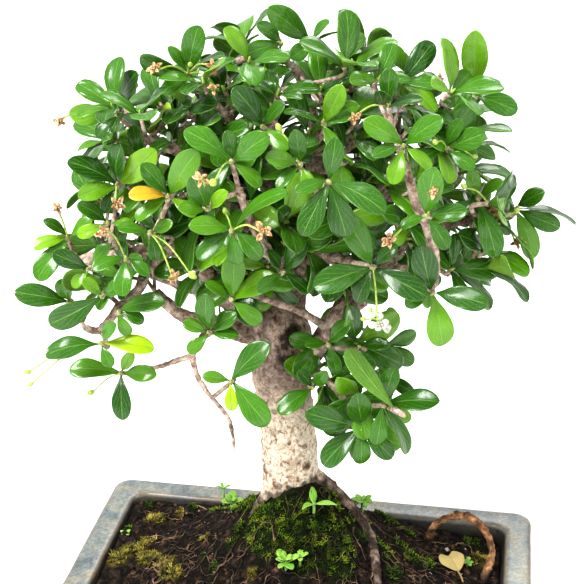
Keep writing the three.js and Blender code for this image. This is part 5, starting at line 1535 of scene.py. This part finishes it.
def make_pot():
    """The glazed pot: rings grown from its foot up the wall, over the rim and down inside to the floor."""
    bm = bmesh.new()
    bmesh.ops.create_grid(bm, x_segments=1, y_segments=1, size=1)
    now, height = Vector((POT_LENGTH / 2, POT_DEPTH / 2, 1)), 0
    bmesh.ops.scale(bm, vec=now, verts=bm.verts)
    bmesh.ops.bevel(bm, geom=bm.verts, offset=POT_CORNER, offset_type="OFFSET", segments=6, profile=0.5,
                    affect="VERTICES", material=-1)
    long_sides = [edge for edge in bm.edges if edge.calc_length() > POT_DEPTH / 2]
    bmesh.ops.subdivide_edges(bm, edges=long_sides, cuts=SIDE_CUTS)
    rim = [edge for edge in bm.edges if edge.is_boundary]
    ring = list({vert for edge in rim for vert in edge.verts})
    for number, (inset, z, _) in enumerate(POT_RINGS):
        if number:
            ring, rim = grown_from(bm, rim)
        target = Vector((POT_LENGTH / 2 - inset, POT_DEPTH / 2 - inset, 1))
        bmesh.ops.scale(bm, vec=Vector((target.x / now.x, target.y / now.y, 1)), verts=ring)
        bmesh.ops.translate(bm, vec=UP * (z - height), verts=ring)
        now, height = target, z
    bmesh.ops.holes_fill(bm, edges=rim)
    for vert in bm.verts:
        vert.co.x -= math.copysign(abs(noise.noise(vert.co * POT_WAVES)) * POT_UNEVEN, vert.co.x)
        vert.co.y -= math.copysign(abs(noise.noise(vert.co * POT_WAVES + UP * 9)) * POT_UNEVEN, vert.co.y)
    shell = piece_of("glazed_pot", bm, [GLAZE], ["pot"])
    edges = [(inset, z) for inset, z, worn in POT_RINGS if worn]
    wear, inner_shades = [], []
    for vertex in shell.data.vertices:
        x, y, z = vertex.co
        inset = min(POT_LENGTH / 2 - abs(x), POT_DEPTH / 2 - abs(y))
        near = min(math.hypot(inset - edge_inset, z - edge_height) for edge_inset, edge_height in edges)
        wear.append(ramped(near, WEAR_REACH, 0))
        # Painted shade on the inner wall, from just below the rim down to the floor
        wall = RIM_WIDTH + WALL_TAPER * (POT_HEIGHT - z) / (POT_HEIGHT - FLOOR_THICKNESS)
        inner = inset > wall - SHADE_MARGIN and z > FLOOR_THICKNESS - FLOOR_MARGIN
        inner_shades.append(ramped(POT_HEIGHT - z, *SHADE_DEPTHS) if inner else 0)
    mark(shell.data, "worn", wear)
    mark(shell.data, "stained", inner_shades)


# The stage

def make_stage():
    """A plain pale floor, soft studio light and the camera at the front view."""
    scene = bpy.context.scene
    scene.view_settings.view_transform = "Standard"
    scene.view_settings.look = "Medium High Contrast"
    bm = bmesh.new()
    bmesh.ops.create_grid(bm, x_segments=1, y_segments=1, size=FLOOR_HALF)
    floor = new_object("floor", mesh_of("floor", bm))
    floor.location.z = -FLOOR_GAP
    material, _, shader = new_material("floor", 0.9)
    shader.inputs["Base Color"].default_value = (*FLOOR_COLOUR, 1)
    floor.data.materials.append(material)
    world = bpy.data.worlds.new("studio")
    world.use_nodes = True
    background = world.node_tree.nodes["Background"]
    background.inputs["Color"].default_value = (1, 1, 1, 1)
    background.inputs["Strength"].default_value = STUDIO_BRIGHTNESS
    scene.world = world
    for name, place, size, power in LAMPS:
        lamp = bpy.data.lights.new(name, "AREA")
        lamp.size = size
        lamp.energy = power
        light = new_object(name, lamp)
        light.location = place
        light.rotation_mode = "QUATERNION"
        light.rotation_quaternion = (LAMP_AIM - Vector(place)).to_track_quat("-Z", "Y")
    daylight = bpy.data.lights.new("window", "SUN")
    daylight.energy = WINDOW_BRIGHTNESS
    daylight.angle = WINDOW_SOFTNESS
    new_object("window", daylight).rotation_euler = WINDOW_TURN
    lens = bpy.data.cameras.new("front")
    lens.sensor_width = SENSOR_WIDTH
    lens.lens = SENSOR_WIDTH * FOCAL / VIEW_SIZE
    camera = new_object("front", lens)
    camera.matrix_world = Matrix.Translation(EYE) @ Matrix((RIGHT, SIGHT_UP, -SIGHT)).transposed().to_4x4()
    scene.camera = camera


make_stage()
make_wood()
HUBS = make_sprays()
make_flowers(HUBS)
make_pot()
make_soil()
make_moss()
make_crumbs()
make_rootlets()
make_arched_root()
make_herbs()
make_fallen_leaf()
